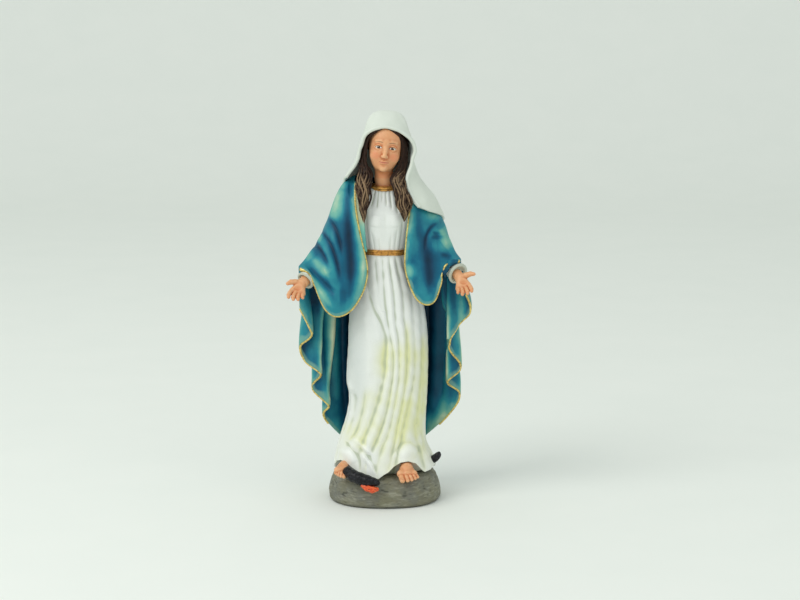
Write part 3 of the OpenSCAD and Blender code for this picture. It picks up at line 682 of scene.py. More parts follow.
skirt = {
    "sections": [
        [15, -25.2, 25.6, -23.5, 15.5], [18, -25.6, 25.9, -23, 15.4], [23, -24.6, 23.8, -21.4, 15],
        [30, -23, 20.8, -19.6, 14],
        [42, -19.2, 20.6, -18.2, 13.2], [53, -17.6, 21.2, -17.8, 12.7], [62, -18.9, 21.6, -17.3, 12.4],
        [80, -18, 21.8, -16.2, 12], [96, -17.4, 20.4, -15.2, 11.4],
        [110, -15, 16.6, -13.8, 10.6], [119, -13, 13.6, -12.4, 9.7], [128.6, -11.4, 11.8, -11.4, 9]],
    # creases down the front, as height, sideways, depth, width to the left and to the right
    "creases": [
        [[127, -9.6, .1, 1, 2], [118, -9.4, .2, 1, 2], [110, -8.3, .7, 1.2, 3], [104, -6.6, 1.0, 1.6, 2.6],
         [99, -4.6, 1.2, 1.8, 2.4], [92, -0.9, 1.4, 1.9, 1.7],
         [84, 0.9, 1.5, 2.6, 1.5], [75, 0.4, 1.4, 3.0, 1.7], [67, 0, 1.3, 2.8, 1.8],
         [55, -2.8, 1.2, 2.4, 2.0], [43, -6.9, 1.1, 2.2, 2.2], [33, -10.9, .9, 2, 2],
         [25, -13.6, .5, 1.6, 2], [17, -16, .1, 1.5, 2]],
        [[127, -4.6, .2, .9, .9], [122, -4.4, .7, 1, 1.3], [114, -3.6, .8, 1.1, 1.8],
         [106, -2.2, .7, 1.3, 1.7], [99, -0.6, .5, 1, 1.2], [94, 1, .1, .8, .8], [17, 1, 0, 1, 1]],
        [[127, -1, .2, .7, .9], [122, -.8, .7, .9, 1.3], [107, 0.1, 1.1, 1.1, 1.7],
         [96.5, 1.4, 1.1, 1, 1.6], [87, 3.1, 1.2, 1.3, 1.4], [78, 4.6, 1.3, 1.7, 1.3],
         [67.5, 4.5, 1.3, 1.8, 1.4], [57, 2.9, 1.2, 1.8, 1.5],
         [45, .3, 1.3, 1.9, 1.9], [34, -3.8, 1.1, 1.8, 2.2], [26, -7.4, .7, 1.6, 2.2], [17, -11, .2, 1.5, 2]],
        [[127, 2.4, .2, .7, .7], [122, 2.8, .8, .9, 1.1], [109, 4.7, 1.0, 1.2, 1.8],
         [93, 5.8, 1.1, 1.2, 1.9], [83, 7.3, 1.2, 1.3, 1.9], [67.5, 7.7, 1.2, 1.4, 1.7],
         [55, 6, 1.2, 1.5, 1.8], [43, 3.6, 1.2, 1.7, 2],
         [35, 1.3, 1.1, 1.7, 2.3], [28, -1.8, .9, 1.7, 2.4], [20, -4.4, .4, 1.5, 2], [15, -6, .1, 1, 2]],
        [[127, 5.6, .2, .7, .7], [122, 6.4, .8, .9, 1.1], [109, 9.4, 1.0, 1.3, 2], [95, 10.2, 1.1, 1.4, 2],
         [85, 11.7, 1.2, 1.5, 2], [67.5, 11.6, 1.3, 1.6, 1.9], [53, 9.6, 1.3, 1.8, 1.7],
         [41, 7.1, 1.3, 1.9, 1.6],
         [32, 5.4, 1.2, 2, 1.6], [24, 3.2, 1, 2, 1.9], [17, 1.6, .4, 2, 2]],
        [[127, 8.8, .2, .7, .7], [122, 9.8, .7, .9, 1.1], [109, 14, .9, 1.6, 2], [88, 15.7, 1.2, 1.9, 1.9],
         [75, 16.2, 1.3, 1.9, 1.7], [65, 15.7, 1.3, 1.9, 1.9], [51.5, 13, 1.3, 1.8, 2.3],
         [39, 10, 1.3, 1.5, 2.6],
         [31, 8.4, 1.2, 1.4, 2.4], [24, 6.4, 1.2, 1.6, 1.8], [17, 5, .5, 1.6, 1.6]],
        [[127, 11.4, .1, .7, .7], [109, 17.4, .6, 1.3, 1.3], [88, 19.7, .9, 1.5, 1.2],
         [67.5, 19.8, 1.1, 1.7, 1.2], [49.5, 17.9, 1.1, 2.2, 1.6], [39, 17, 1, 2.6, 2],
         [29, 18.4, .9, 2.4, 2], [21, 20.2, .9, 2, 1.6], [16, 21.4, .5, 1.6, 1.4]],
        [[127, -13, 0, 1.5, 2], [82, -13.4, 0, 1.6, 2.2], [68, -14, .15, 1.7, 2.4],
         [57, -14.8, .8, 1.8, 2.5], [47, -16.4, 1.2, 1.8, 2.5], [39, -18.8, 1.2, 1.7, 2.3],
         [33, -21.2, .6, 1.5, 2], [27, -22.4, .2, 1.2, 1.8], [16, -23, 0, 1, 1]],
        [[127, -8, 0, 1.5, 1.8], [78, -8.6, 0, 1.5, 1.8], [64, -9.4, .15, 1.5, 1.9],
         [54, -10.6, .8, 1.5, 2], [46, -12.4, 1.2, 1.6, 2.1], [37, -15.4, 1.2, 1.6, 2],
         [31, -19, .6, 1.4, 1.8], [25, -20, .15, 1.2, 1.4], [16, -21, 0, 1, 1]]],
    "folds": [  # other dents and swellings on the front: line, width, height, sharpness
        ([[-20, 31], [-16.2, 28], [-12.8, 24], [-12.4, 18.8]], 1.1, -0.9, 1.6),
        ([[-22.4, 26.4], [-18, 25.6], [-15, 22]], 2.8, 0.8, 2),
        ([[-14, 32], [-9.4, 27], [-5.4, 21.6], [-3.4, 16]], 1.2, -0.6, 1.6),
        ([[-10.6, 25.4], [-7.2, 22], [-4.6, 17.6]], 1.3, 0.8, 2),
        ([[-16, 34], [-11, 30], [-6.5, 27]], 1.2, 0.7, 2),
        ([[4.5, 27], [9.5, 31.5], [14.5, 31], [19, 26.5]], 1.3, -0.35, 1.7),
        ([[7.6, 26.2], [12, 28.4], [16.5, 26.2]], 3.4, 0.9, 2),
        ([[17, 40], [18.6, 31], [22.5, 23], [24.5, 18.6]], 1.2, 0.9, 2),
        ([[20.2, 30], [22.6, 25], [25.6, 21.4]], 0.7, -0.7, 1.3),
        ([[-15.5, 110], [-15.2, 90], [-14.6, 72]], 4.2, 0.6, 2),
        ([[-12, 104], [-8.6, 92], [-7.4, 78], [-8.4, 66]], 2.4, 0.5, 2),
        ([[-19.4, 63], [-18.2, 59.6], [-17, 57]], 1.6, 0.7, 1.8)],
    "wash": [  # where the warm tint is sprayed
        ([[12.2, 96], [12, 86], [11.4, 74], [10.4, 60]], 3.0, 0.6, 2),
        ([[-0.6, 86], [0.4, 76], [1.4, 68]], 3.6, 0.4, 2),
        ([[20, 86], [20.4, 70], [19.6, 50], [18, 38]], 2.6, 0.5, 2),
        ([[12.6, 54], [9.6, 42], [8, 31]], 3.8, 0.7, 2),
        ([[-7.6, 60], [-9.8, 48], [-11, 38], [-12, 28]], 5.0, 0.5, 2),
        ([[-2.4, 48], [-4.4, 38], [-6, 30]], 3.0, 0.4, 2),
        ([[16, 44], [16.6, 34]], 2.4, 0.5, 2), ([[-18, 40], [-19.6, 32]], 3.2, 0.25, 2)],
    "hem": [[-27.5, 18.6], [-25, 19.6], [-22, 21.8], [-19, 21.6], [-16.5, 20], [-12.5, 17.8], [-8, 16.4],
            [-4.6, 15.0], [-2.8, 15.0], [-0.5, 16.8], [2, 18.2], [5, 20.8],
            [9, 22.7], [13, 23], [16.4, 21.6], [18.4, 18.6], [20, 16.6], [22.5, 17], [25, 18.6], [26.6, 17]]}


def skirtCreases(x, z, creases):
    total = np.zeros_like(x)
    for line in creases:
        line = np.array(line, float)
        steps = spline(line, np.linspace(0, 1, 200))[::-1]
        at = [np.interp(z, steps[:, 0], steps[:, k]) for k in range(1, 5)]
        off = x - at[0]
        width = np.where(off < 0, at[2], at[3])
        total -= 1.15 * at[1] * np.exp(-(np.abs(off) / (1.12 * width)) ** 1.7)
    return total


def makeSkirt(look):
    rows, columns = 460, 760
    angles = np.linspace(0, 2 * np.pi, columns, endpoint=False)
    guide = ovalRings(look["sections"], np.linspace(0, 1, rows), angles)
    foot = guide[0]
    frontness = smooth(-foot[:, 1], -2.0, 6.0)
    hem = np.array(look["hem"])
    frontHem = np.interp(foot[:, 0] * 0.98, hem[:, 0], hem[:, 1])
    low = 15.4 + (frontHem - 15.4) * frontness + 0.5 * (1 - frontness) * np.cos(9 * angles)
    share = np.linspace(0, 1, rows)[:, None] ** 1.05
    z = low + (128.6 - low) * share
    steps = np.linspace(0, 1, 900)
    t = np.interp(z, spline(look["sections"], steps)[:, 0], steps)
    s = spline(look["sections"], t.ravel()).reshape(*t.shape, 5)
    c, n = np.cos(angles)[None], np.sin(angles)[None]
    square = 2.3
    out = (np.abs(c) ** square + np.abs(n) ** square) ** (-1 / square)
    x = (s[..., 1] + s[..., 2]) / 2 + (s[..., 2] - s[..., 1]) / 2 * c * out
    y = np.where(n < 0, -s[..., 3], s[..., 4]) * n * out
    grid = np.stack([x, y, z], -1)
    normals = -gridNormals(grid, True)
    front = smooth(-normals[..., 1], 0.05, 0.55)
    dents = skirtCreases(x, z, look["creases"]) + stroked(x, z, look["folds"])
    sway = 1.2 * np.sin(z / 31) + 0.6 * np.sin(z / 13)
    pleats = np.abs(np.sin((angles[None] * 7.5) + sway * 0.22)) ** 0.7 - 0.75
    grow = 0.25 + 0.75 * (1 - smooth(z, 60, 124))
    push = dents * front + (1 - front) * 1.5 * pleats * grow + 0.35
    grid = grid + normals * push[..., None]
    grid = grid + normals * (0.10 * noise(grid, 9, 21))[..., None]
    grid[..., 1] = np.maximum(grid[..., 1], -24.6)
    normals = -gridNormals(grid, True)
    fold = relief(grid, normals, (10, 12), True) * 3.2
    wash = stroked(x, z, look["wash"]) + (1 - smooth(z, 74, 98)) * (0.14 + 0.46 * smooth(x, -12, 1))
    wash = wash + 0.26 * (1 - smooth(z, 34, 58)) * (x < -9)
    wash = wash * (0.8 + 0.35 * smooth(-fold, -0.4, 0.7))  # the tint gathers in the creases
    wash = wash * smooth(-grid[..., 1], -14, 2) * (0.9 + 0.2 * noise(grid, 24, 77))
    # painted shade: a broad darker patch on the front at her right, and darker creases high up under the belt
    dusk = 0.6 * bell(x, -14, 7) * bell(z, 74, 34) * front + 0.35 * smooth(z, 96, 120) * smooth(-fold, 0, 1)
    hemLine = grid[0]
    tuck = np.stack([hemLine * [0.7, 0.7, 0] + [0, 0, 15.3], hemLine * [0.93, 0.93, 1] + [0, 0, 0.9],
                     hemLine * [0.965, 0.965, 1] + [0, 0, 0.15]])  # the cloth turned in under the hem
    grid = np.concatenate([tuck, grid])
    fold, wash, dusk = (np.concatenate([np.repeat(v[:1], len(tuck), 0), v]) for v in (fold, wash, dusk))
    solid = Solid().loft(grid, flip=True, fold=fold, wash=wash, dusk=dusk)
    solid.build("skirtDrape", gownFinish, "gown_white", "skirt")


bodice = {
    "sections": [
        [126, -11.4, 11.8, -11.2, 9], [132, -12.6, 12.8, -12.1, 9.2], [142, -15.6, 15.6, -13.4, 9.6],
        [149, -18, 18, -12.8, 9.4],
        [155, -18, 18, -10.8, 8.6], [159, -12, 12, -9.2, 7], [161.4, -6.2, 6.2, -8.7, 3.7]],
    "folds": [
        ([[-4.6, 160.4], [-5.4, 156.5], [-6.6, 152]], 0.75, -0.8, 1.3),
        ([[-2.9, 160.6], [-3.2, 156], [-3.6, 151.6]], 0.7, -0.8, 1.3),
        ([[-1.2, 160.6], [-1.2, 156.8], [-1.3, 154]], 0.6, -0.6, 1.3),
        ([[0.8, 160.6], [0.9, 156.5], [1.1, 152.6]], 0.65, -0.7, 1.3),
        ([[2.8, 160.6], [3.2, 156.4], [3.8, 151]], 0.7, -0.8, 1.3),
        ([[4.6, 160.2], [5.6, 155.6], [6.8, 149]], 0.75, -0.8, 1.3),
        ([[-4.4, 148], [-4.2, 145], [-4.6, 142]], 3.2, 0.75, 2),
        ([[4.8, 148.4], [5.0, 145], [5.2, 142]], 3.2, 0.75, 2),
        ([[0.2, 148], [0.4, 142], [0.2, 135], [-0.2, 130.5]], 2.2, -0.3, 2),
        ([[-6.6, 139], [-5.4, 134], [-5.0, 129]], 1.0, -0.5, 1.4),
        ([[6.6, 140], [5.8, 134.5], [5.4, 129]], 1.0, -0.5, 1.4),
        ([[3.6, 137.5], [3.2, 133], [3.0, 129]], 0.9, -0.45, 1.4),
        ([[-2.8, 136], [-2.6, 132], [-2.4, 129]], 0.9, -0.45, 1.4),
        ([[8.6, 152], [9.2, 143], [8.4, 134], [7.4, 129]], 1.1, -0.55, 1.4),
        ([[-8.8, 151], [-9, 143], [-8.4, 135], [-7.6, 129]], 1.1, -0.55, 1.4)]}


def makeBodice(look):
    angles = np.linspace(0, 2 * np.pi, 520, endpoint=False)
    grid = ovalRings(look["sections"], np.linspace(0, 1, 220), angles)
    normals = -gridNormals(grid, True)
    front = smooth(-normals[..., 1], 0.0, 0.5)
    push = stroked(grid[..., 0], grid[..., 2], look["folds"]) * front
    push += (1 - front) * 0.3 * np.cos(angles * 11)[None]
    grid = grid + normals * push[..., None]
    normals = -gridNormals(grid, True)
    fold = relief(grid, normals, (7, 9), True) * 3 + relief(grid, normals, (3, 3), True) * 1.5
    x, z = grid[..., 0], grid[..., 2]
    # painted shade just under the neck band and down the middle of the breast
    dusk = 0.35 * smooth(z, 157, 162) + 0.2 * bell(x, 0.5, 3.2) * bell(z, 140, 8)
    solid = Solid().loft(grid, flip=True, fold=fold, wash=0.06, dusk=dusk)
    solid.build("bodiceDrape", gownFinish, "gown_white", "bodice")


belt = {"z": 128.7, "half": 1.45, "proud": 1.15, "ribs": [-0.62, 0.0, 0.62]}


def makeBelt(look):
    angles = np.linspace(0, 2 * np.pi, 420, endpoint=False)
    outsideRows = 34
    across = np.concatenate([np.linspace(-1, 1, outsideRows), [1.0, 0.4, -0.4, -1.0]])
    rings, folds = [], []
    for i, v in enumerate(across):
        outside = i < outsideRows
        z = look["z"] + look["half"] * v
        lift = look["proud"] * (1 - abs(v) ** 5) ** 0.5 if outside else -0.9
        if outside:
            for rib in look["ribs"]:
                lift = lift - 0.32 * math.exp(-((v - rib) / 0.13) ** 2)
        section = [[z - 0.01, -11.7, 12.1, -11.6, 9.1], [z + 0.01, -11.7, 12.1, -11.6, 9.1]]
        ring = ovalRings(section, np.array([0.5]), angles)[0]
        outward = unit(ring * [1, 1, 0])
        wave = 0.10 * np.sin(angles * 3 + 1) + 0.06 * np.sin(angles * 8)
        rings.append(ring + outward * lift + np.stack([0 * wave, 0 * wave, wave], -1))
        # painted shade: the grooves and the hidden inside get low fold values, which darken the gilt there
        groove = sum(math.exp(-((v - rib) / 0.14) ** 2) for rib in look["ribs"])
        folds.append([0.4 - groove if outside else -1] * len(angles))
    rings = np.array(rings)
    quads = gridFaces(len(rings), len(angles), True)
    closing = gridFaces(2, len(angles), True)
    closing = np.where(closing < len(angles), closing + (len(rings) - 1) * len(angles), closing - len(angles))
    quads = np.concatenate([quads, closing])[:, ::-1]
    Solid().add(rings, quads, fold=np.array(folds).ravel()).build("beltBand", bandFinish, "gilt", "belt")


neckBand = {"centre": [0, -2.5], "radius": 6.3, "z": 160.9, "thick": 1.35, "dip": 0.25}


def makeNeckBand(look):
    steps, sides = 240, 28
    a = np.linspace(0, 2 * np.pi, steps, endpoint=False)
    centre = np.array([*look["centre"], look["z"]])
    path = centre + np.stack([look["radius"] * np.cos(a), look["radius"] * np.sin(a),
                              look["dip"] * np.sin(a)], -1)
    ahead = unit(np.roll(path, -1, 0) - np.roll(path, 1, 0))
    out = unit(path - centre)
    rise = np.cross(out, ahead)
    b = np.linspace(0, 2 * np.pi, sides, endpoint=False)
    thick = look["thick"] * (1 - 0.16 * np.cos(3 * b) ** 2 * (np.cos(b) > -0.3))
    outward, upward = (thick * np.cos(b) * 0.9)[None, :, None], (thick * np.sin(b))[None, :, None]
    rings = path[:, None] + out[:, None] * outward + rise[:, None] * upward
    # painted shade in the grooves round the band, through low fold values
    fold = np.broadcast_to(-np.cos(3 * b) ** 4 * 1.2 + 0.3, rings.shape[:2])
    closing = gridFaces(2, sides, True)
    closing = np.where(closing < sides, closing + (steps - 1) * sides, closing - sides)
    quads = np.concatenate([gridFaces(steps, sides, True), closing])
    Solid().add(rings, quads, fold=fold.ravel()).build("neckBandRing", bandFinish, "gilt", "neck_band")


sleeves = {
    "right": {"arm": [[-17.5, 0, 152, 4.8], [-23.6, -1, 141, 4.4], [-29.8, -4, 129, 4],
                      [-35, -9.0, 119.6, 3.0], [-39.9, -14.8, 115.0, 4.8]]},
    "left": {"arm": [[17.5, 0, 150, 4.8], [24.4, -1, 139.5, 4.4], [29, -4, 130, 4],
                     [32.8, -8.6, 121.4, 3.2], [37.2, -14.4, 118.5, 5.5]]},
    "rings": [0.79, 0.85, 0.905, 0.955], "ringDepth": 0.6}


def makeSleeve(side, look):
    shape = look[side]
    t = np.linspace(0, 1, 230)
    s = spline(shape["arm"], t)
    a = np.linspace(0, 2 * np.pi, 96, endpoint=False)
    radius = s[:, 3][:, None] * np.ones(len(a))
    for k, at in enumerate(look["rings"]):  # gathers round the wrist, which slant and fade round the arm
        slant = 0.022 * np.sin(a + 1.3 * k)
        pinch = look["ringDepth"] * np.exp(-(np.abs(t[:, None] - at - slant) / 0.012) ** 1.4)
        radius = radius - pinch * (0.65 + 0.35 * np.cos(a - 0.9 * k))
        radius = radius + 0.25 * np.exp(-((t[:, None] - at - slant - 0.024) / 0.014) ** 2)
    radius = radius * (1 - 0.16 * smooth(t, 0.985, 1.0))[:, None]
    path = s[:, :3]
    base = tubeRings(path, np.ones(len(t)), len(a))
    grid = path[:, None] + (base - path[:, None]) * radius[..., None]
    ahead = unit(path[-1] - path[-4])
    # how wide and how deep the mouth of the cuff is
    insets = ((0.93, 0.02), (0.84, 0.25), (0.78, 1.0), (0.5, 1.6))
    mouth = [path[-1] + (grid[-1] - path[-1]) * wide - ahead * deep for wide, deep in insets]
    grid = np.concatenate([grid, np.array(mouth)])
    normals = gridNormals(grid, True)
    fold = relief(grid, normals, (4, 4), True) * 3.5
    # painted shade inside the mouth of the cuff
    fold[-3:] = -1.2
    # the whole cuff is given painted shade
    solid = Solid().loft(grid, fold=fold, wash=0.15, dusk=0.35)
    solid.build(side + "Cuff", gownFinish, "gown_white", side + "_sleeve")


makeSkirt(skirt)
makeBodice(bodice)
makeBelt(belt)
makeNeckBand(neckBand)
makeSleeve("right", sleeves)
makeSleeve("left", sleeves)


mantle = {
    "thick": 1.3, "ridgeStart": 0.26, "reach": 0.36,
    "over": ([0, -1, -0.15], [0, 0.16, -0.95]), "fall": [0, 0, 1], "lean": [0, -0.14, 0.12],
    "bag": {"right": [-21, -19, 113], "left": [20.5, -18.5, 114]},
    "arm": {"right": [-31, -16, 130], "left": [27, -15, 132]}, "press": [[25, 119, 7, 11], [27, 137, 6, 7]],
    "right": {
        "ridge": [[0, 11.5, 163], [-9, 9.5, 165.5], [-16, 4.5, 166], [-22, 2, 161.5], [-27.5, 2, 148],
                  [-33.5, 0, 134.8], [-39, -6.4, 126.8], [-43, -13, 122.2]],
        "edge": [[-14.9, -6, 163.6], [-15.1, -11.5, 156.4], [-13.7, -14.6, 145], [-11.2, -15.4, 134],
                 [-9, -16, 124.4], [-8.9, -17, 117], [-11.4, -18.8, 108.8],
                 [-17, -21, 101], [-23.6, -21.4, 98.2], [-29.4, -20.6, 101.6], [-34, -18.8, 111.6],
                 [-37.4, -17.2, 119.2], [-42.6, -14.4, 121.2]],
        "hem": [[0, 21, 19], [-9, 20.6, 20.5], [-17, 18.5, 24], [-24.4, 14, 29.6], [-32.4, 8.5, 41],
                [-29.4, 3.5, 47.6], [-37.8, 4, 57], [-33, -1.5, 65],
                [-41, 0.5, 71.6], [-43.6, -3.5, 79.6], [-37.4, -8.5, 87], [-43, -10.4, 101]]},
    "left": {
        "ridge": [[0, 11.5, 163], [9, 9.5, 165], [16, 5, 163], [22.6, 2, 155.5], [29.4, 1.5, 145],
                  [32.8, -1, 136], [35.6, -6.4, 129.6], [38.6, -12.6, 125.8]],
        "edge": [[14.4, -5.5, 162], [13.8, -11.5, 154.4], [12.2, -14.4, 143.6], [11, -15.3, 132.4],
                 [10.7, -16.4, 122.6], [12.6, -18, 114.6], [16.3, -19.8, 107],
                 [20.6, -20.6, 104.2], [25, -20.2, 105.8], [28, -19.2, 113.6], [29.4, -18.2, 120],
                 [32.8, -16.6, 124.4], [38.4, -14, 124.9]],
        "hem": [[0, 21, 19], [9, 20.6, 20.5], [15.5, 18.5, 23.5], [22.6, 14, 29.6], [33, 8.5, 41],
                [39.4, 5, 52.8], [32.6, 2, 60], [39.6, 0.5, 68.4],
                [32.8, -5.5, 80], [37, -4.5, 90.4], [44.2, -5, 98.4], [41.6, -11.5, 108]]},
    "frontFolds": [  # right panel, then left panel
        ([[-18, 163], [-18.4, 152], [-18.1, 140], [-17.4, 127], [-17.2, 114]], 3.0, -1.3, 2),
        ([[-13.6, 150], [-12, 136], [-10.8, 124], [-12, 113]], 1.8, 0.5, 2),
        ([[-24.4, 158], [-25, 150], [-25.6, 144]], 3.0, 0.5, 2),
        ([[-27.4, 145.6], [-24.6, 141.4], [-22.4, 135], [-21.2, 128]], 1.0, -0.9, 1.5),
        ([[-29.4, 141], [-26.4, 137], [-24, 131]], 1.6, 0.5, 2),
        ([[-31.4, 137.6], [-27.6, 134.4], [-24.8, 128.2], [-23, 122], [-22, 116]], 1.1, -1.0, 1.5),
        ([[-33.4, 134], [-29.4, 130], [-26.4, 123.6], [-24, 117]], 1.8, 0.55, 2),
        ([[-36, 130.6], [-33.6, 131], [-30.6, 128], [-27.8, 123]], 1.0, -0.9, 1.5),
        ([[-35.6, 126.8], [-32, 124], [-28.6, 118.6]], 2.2, 0.6, 2),
        ([[-37, 120.6], [-32.4, 116.2], [-27.6, 111.8], [-24.6, 109.6]], 1.3, -0.8, 1.7),
        ([[-33, 111.6], [-29, 105.4]], 2.0, 0.4, 2),
        ([[18.4, 158], [17.2, 148], [18, 139], [20.6, 131], [22, 122], [22.8, 111]], 2.6, -1.1, 2),
        ([[13.8, 150], [12.8, 138], [12.4, 126], [13.6, 116]], 2.0, 0.5, 2),
        ([[20.6, 131], [21.2, 136.6], [23.4, 140.8], [26.6, 142.6]], 0.9, -0.8, 1.5),
        ([[24.6, 138.4], [28, 137.2]], 0.8, -0.6, 1.5), ([[23.6, 136.2], [29.8, 135.8]], 0.8, -0.6, 1.5),
        ([[24, 147], [28, 144.6]], 2.4, 0.4, 2), ([[25, 139.8], [29.6, 139]], 1.0, 0.4, 2),
        ([[29, 127.6], [33.8, 126.2]], 0.9, -0.5, 1.5), ([[31.8, 133], [27.6, 131]], 2.6, 0.5, 2)],
    "wingFolds": [  # on the hanging part at each side, as seen from the front
        ([[-26.4, 96], [-27, 82], [-26.6, 66], [-25.4, 50]], 2.3, 1.3, 2),
        ([[-22.4, 100], [-22.6, 78], [-22, 56], [-20.4, 38]], 1.8, -0.9, 1.6),
        ([[-31.4, 96], [-31.4, 82], [-30.6, 66], [-29.4, 52]], 1.9, -0.9, 1.6),
        ([[-36, 98], [-35.6, 88], [-35.2, 78]], 1.6, 0.6, 2),
        ([[26.4, 100], [27, 82], [26.6, 62], [25.4, 46]], 2.3, 1.2, 2),
        ([[23.2, 100], [23.4, 80], [23, 58], [21.8, 40]], 1.6, -0.9, 1.6),
        ([[31.4, 100], [31.2, 84], [30.6, 66], [30, 50]], 1.8, -0.9, 1.6),
        ([[35.4, 98], [35, 90], [34.6, 80]], 1.5, 0.6, 2)],
    "backFolds": [  # down the back
        ([[-4, 122], [-6, 90], [-7.6, 56], [-8, 22]], 2.2, -1.3, 1.4),
        ([[3.6, 122], [4.4, 92], [5.6, 58], [6, 22]], 2.2, -1.3, 1.4),
        ([[-0.4, 118], [-0.8, 88], [-1, 54], [-1, 21]], 3.0, 1.0, 2),
        ([[-11.6, 128], [-14, 94], [-15.4, 60], [-15, 27]], 2.0, -1.4, 1.4),
        ([[11.2, 128], [13.2, 96], [14.2, 62], [14, 26]], 2.0, -1.4, 1.4),
        ([[-9.2, 120], [-10.8, 88], [-11.8, 55], [-11.6, 24]], 2.4, 0.9, 2),
        ([[8.8, 120], [9.6, 88], [10.4, 56], [10, 23]], 2.4, 0.9, 2),
        ([[-19, 140], [-21.4, 104], [-21.6, 70], [-20, 38]], 2.2, -1.2, 1.4),
        ([[18.4, 138], [20.6, 104], [21.4, 70], [20, 38]], 2.2, -1.2, 1.4),
        ([[-15.6, 134], [-18, 98], [-18.8, 64], [-17.6, 33]], 2.2, 0.9, 2),
        ([[15, 134], [17, 98], [17.8, 64], [17, 32]], 2.2, 0.9, 2)],
    "shadow": [  # painted shadow: where the deep colour is sprayed, seen from the front
        ([[-18, 163], [-18.4, 154], [-18, 143], [-17.2, 133], [-16.6, 124], [-16.8, 115], [-17.6, 109]],
         2.1, 0.30, 2),
        ([[-19.6, 158], [-20.2, 144], [-20.4, 128], [-20.4, 112]], 4.6, 0.16, 2),
        ([[-22.4, 109], [-18.6, 109]], 5.6, 0.20, 2.2),
        ([[-28.6, 145.4], [-25.4, 142], [-23, 136], [-21.6, 130]], 0.9, 0.26, 1.6),
        ([[-32.2, 138.6], [-28.4, 135.6], [-25.4, 129.6], [-23.4, 123], [-22.4, 118]], 1.0, 0.30, 1.6),
        ([[-36.8, 132.4], [-34.2, 132.6], [-31.2, 129.6], [-28.6, 125]], 1.1, 0.26, 1.6),
        ([[-35, 129.4], [-31, 126.6], [-27, 121]], 2.8, 0.12, 2),
        ([[-37, 121.6], [-33, 118], [-28, 113.6], [-24.4, 111.4]], 1.3, 0.26, 1.6),
        ([[-32.4, 143.6], [-29.4, 143.4]], 0.7, 0.2, 1.6),
        ([[17.2, 152], [17.8, 142], [20.2, 134]], 2.2, 0.14, 2),
        ([[20.6, 132], [21.0, 137.4], [23.2, 141.4], [26.2, 143.2]], 0.9, 0.28, 1.7),
        ([[22.0, 137], [22.6, 129], [23.4, 121], [23.4, 112]], 5.0, 0.26, 2.2),
        ([[22, 131], [22.4, 121], [22.4, 112]], 2.2, 0.16, 2),
        ([[24.4, 139.2], [28, 138]], 0.6, 0.2, 1.6), ([[23.4, 137], [29.6, 136.6]], 0.6, 0.2, 1.6),
        ([[28.4, 128.6], [33.4, 127]], 1.0, 0.24, 1.7),
        ([[14.6, 160], [18.4, 155.4], [25.4, 150], [29, 148.4]], 1.4, 0.3, 1.8)],
    # painted light: where the pale colour goes, seen from the front
    "light": [
        ([[-22.4, 160], [-24.4, 152], [-27, 145.6]], 5.0, 0.34, 2),
        ([[-21.6, 167], [-21, 160]], 3.4, 0.14, 2),
        ([[-34.6, 136], [-31.8, 134]], 2.6, 0.26, 2), ([[-40, 128], [-37.4, 125]], 3.2, 0.22, 2),
        ([[-35.6, 125.6], [-31.4, 121.4], [-28.8, 118]], 2.6, 0.24, 2),
        ([[-35.4, 117], [-31, 109.4], [-26.4, 103.4]], 2.2, 0.26, 2),
        ([[-14.6, 154], [-12.4, 140], [-10.4, 127], [-11.6, 114], [-15.4, 105.4]], 2.6, 0.32, 2),
        ([[33.4, 135.4], [29.6, 132.4]], 5.0, 0.32, 2), ([[26.6, 132.2], [23.8, 132]], 3.0, 0.14, 2),
        ([[22, 150], [26.4, 146.8]], 4.0, 0.16, 2), ([[29.4, 141], [31, 137]], 2.4, 0.2, 2),
        ([[13.4, 150], [12.8, 138], [12.6, 126]], 3.2, 0.12, 2), ([[12.2, 124], [13.2, 117]], 2.6, 0.26, 2),
        ([[28.6, 118], [27.4, 110]], 1.6, 0.16, 2)]}


def drape(top, edge, over, fall, reach, t):
    span = reach * np.linalg.norm(edge - top, axis=-1, keepdims=True)
    p, q = top + span * np.asarray(over, float), edge + span * np.asarray(fall, float)
    t = t[:, None, None]
    r = 1 - t
    return r ** 3 * top + 3 * r * r * t * p + 3 * r * t * t * q + t ** 3 * edge


# rows run from the front edge over the ridge to the hem, columns side to side
def mantleGrid(look, half, frontRows, backRows):
    start = look["ridgeStart"]
    share = np.concatenate([np.linspace(0, start, 56), start + (1 - start) * crowded(half - 55, 0.55)[1:]])
    front, back = [], []
    tFront, tBack = crowded(frontRows, 0.6)[::-1], crowded(backRows, 0.6)
    for side in ("right", "left"):
        part = look[side]
        ridge = spline(part["ridge"], share)
        panel = np.clip((share - start) / (1 - start), 0, 1)
        edge = spline(part["edge"], panel)
        along = unit(np.gradient(edge, axis=0))
        wrist = smooth(panel, 0.58, 0.80)[:, None]
        inward = np.array(look["bag"][side]) * (1 - wrist) + np.array(look["arm"][side]) * wrist - edge
        inward = inward - (inward * along).sum(-1, keepdims=True) * along
        length = 0.85 - 0.4 * smooth(panel, 0.56, 0.76)[:, None]
        # the cloth meets its edge squarely
        inward = unit(inward * [1, 0.15, 1]) * length + np.array(look["lean"])
        fore = drape(ridge, edge, look["over"][0], inward, look["reach"], tFront)
        fore[:, share < start - 1e-6] = ridge[None, share < start - 1e-6]
        front.append(fore)
        back.append(drape(ridge, spline(part["hem"], share), look["over"][1], look["fall"], look["reach"],
                          tBack))
    grid = [np.concatenate([f[:-1], b]) for f, b in zip(front, back)]
    u = np.concatenate([-share[::-1], share[1:]])
    return np.concatenate([grid[0][:, ::-1], grid[1][:, 1:]], 1), u


def settle(grid, row, reach, times, free):  # rounds the cloth over the arm, around one row of the grid
    out = grid.copy()
    weight = (bell(np.arange(len(grid)), row, reach) * 0.5)[:, None, None] * free[None, :, None]
    for _ in range(times):
        mid = (np.roll(out, 1, 0) + np.roll(out, -1, 0)) / 2
        mid[0], mid[-1] = out[0], out[-1]
        out = out + weight * (mid - out)
    return out


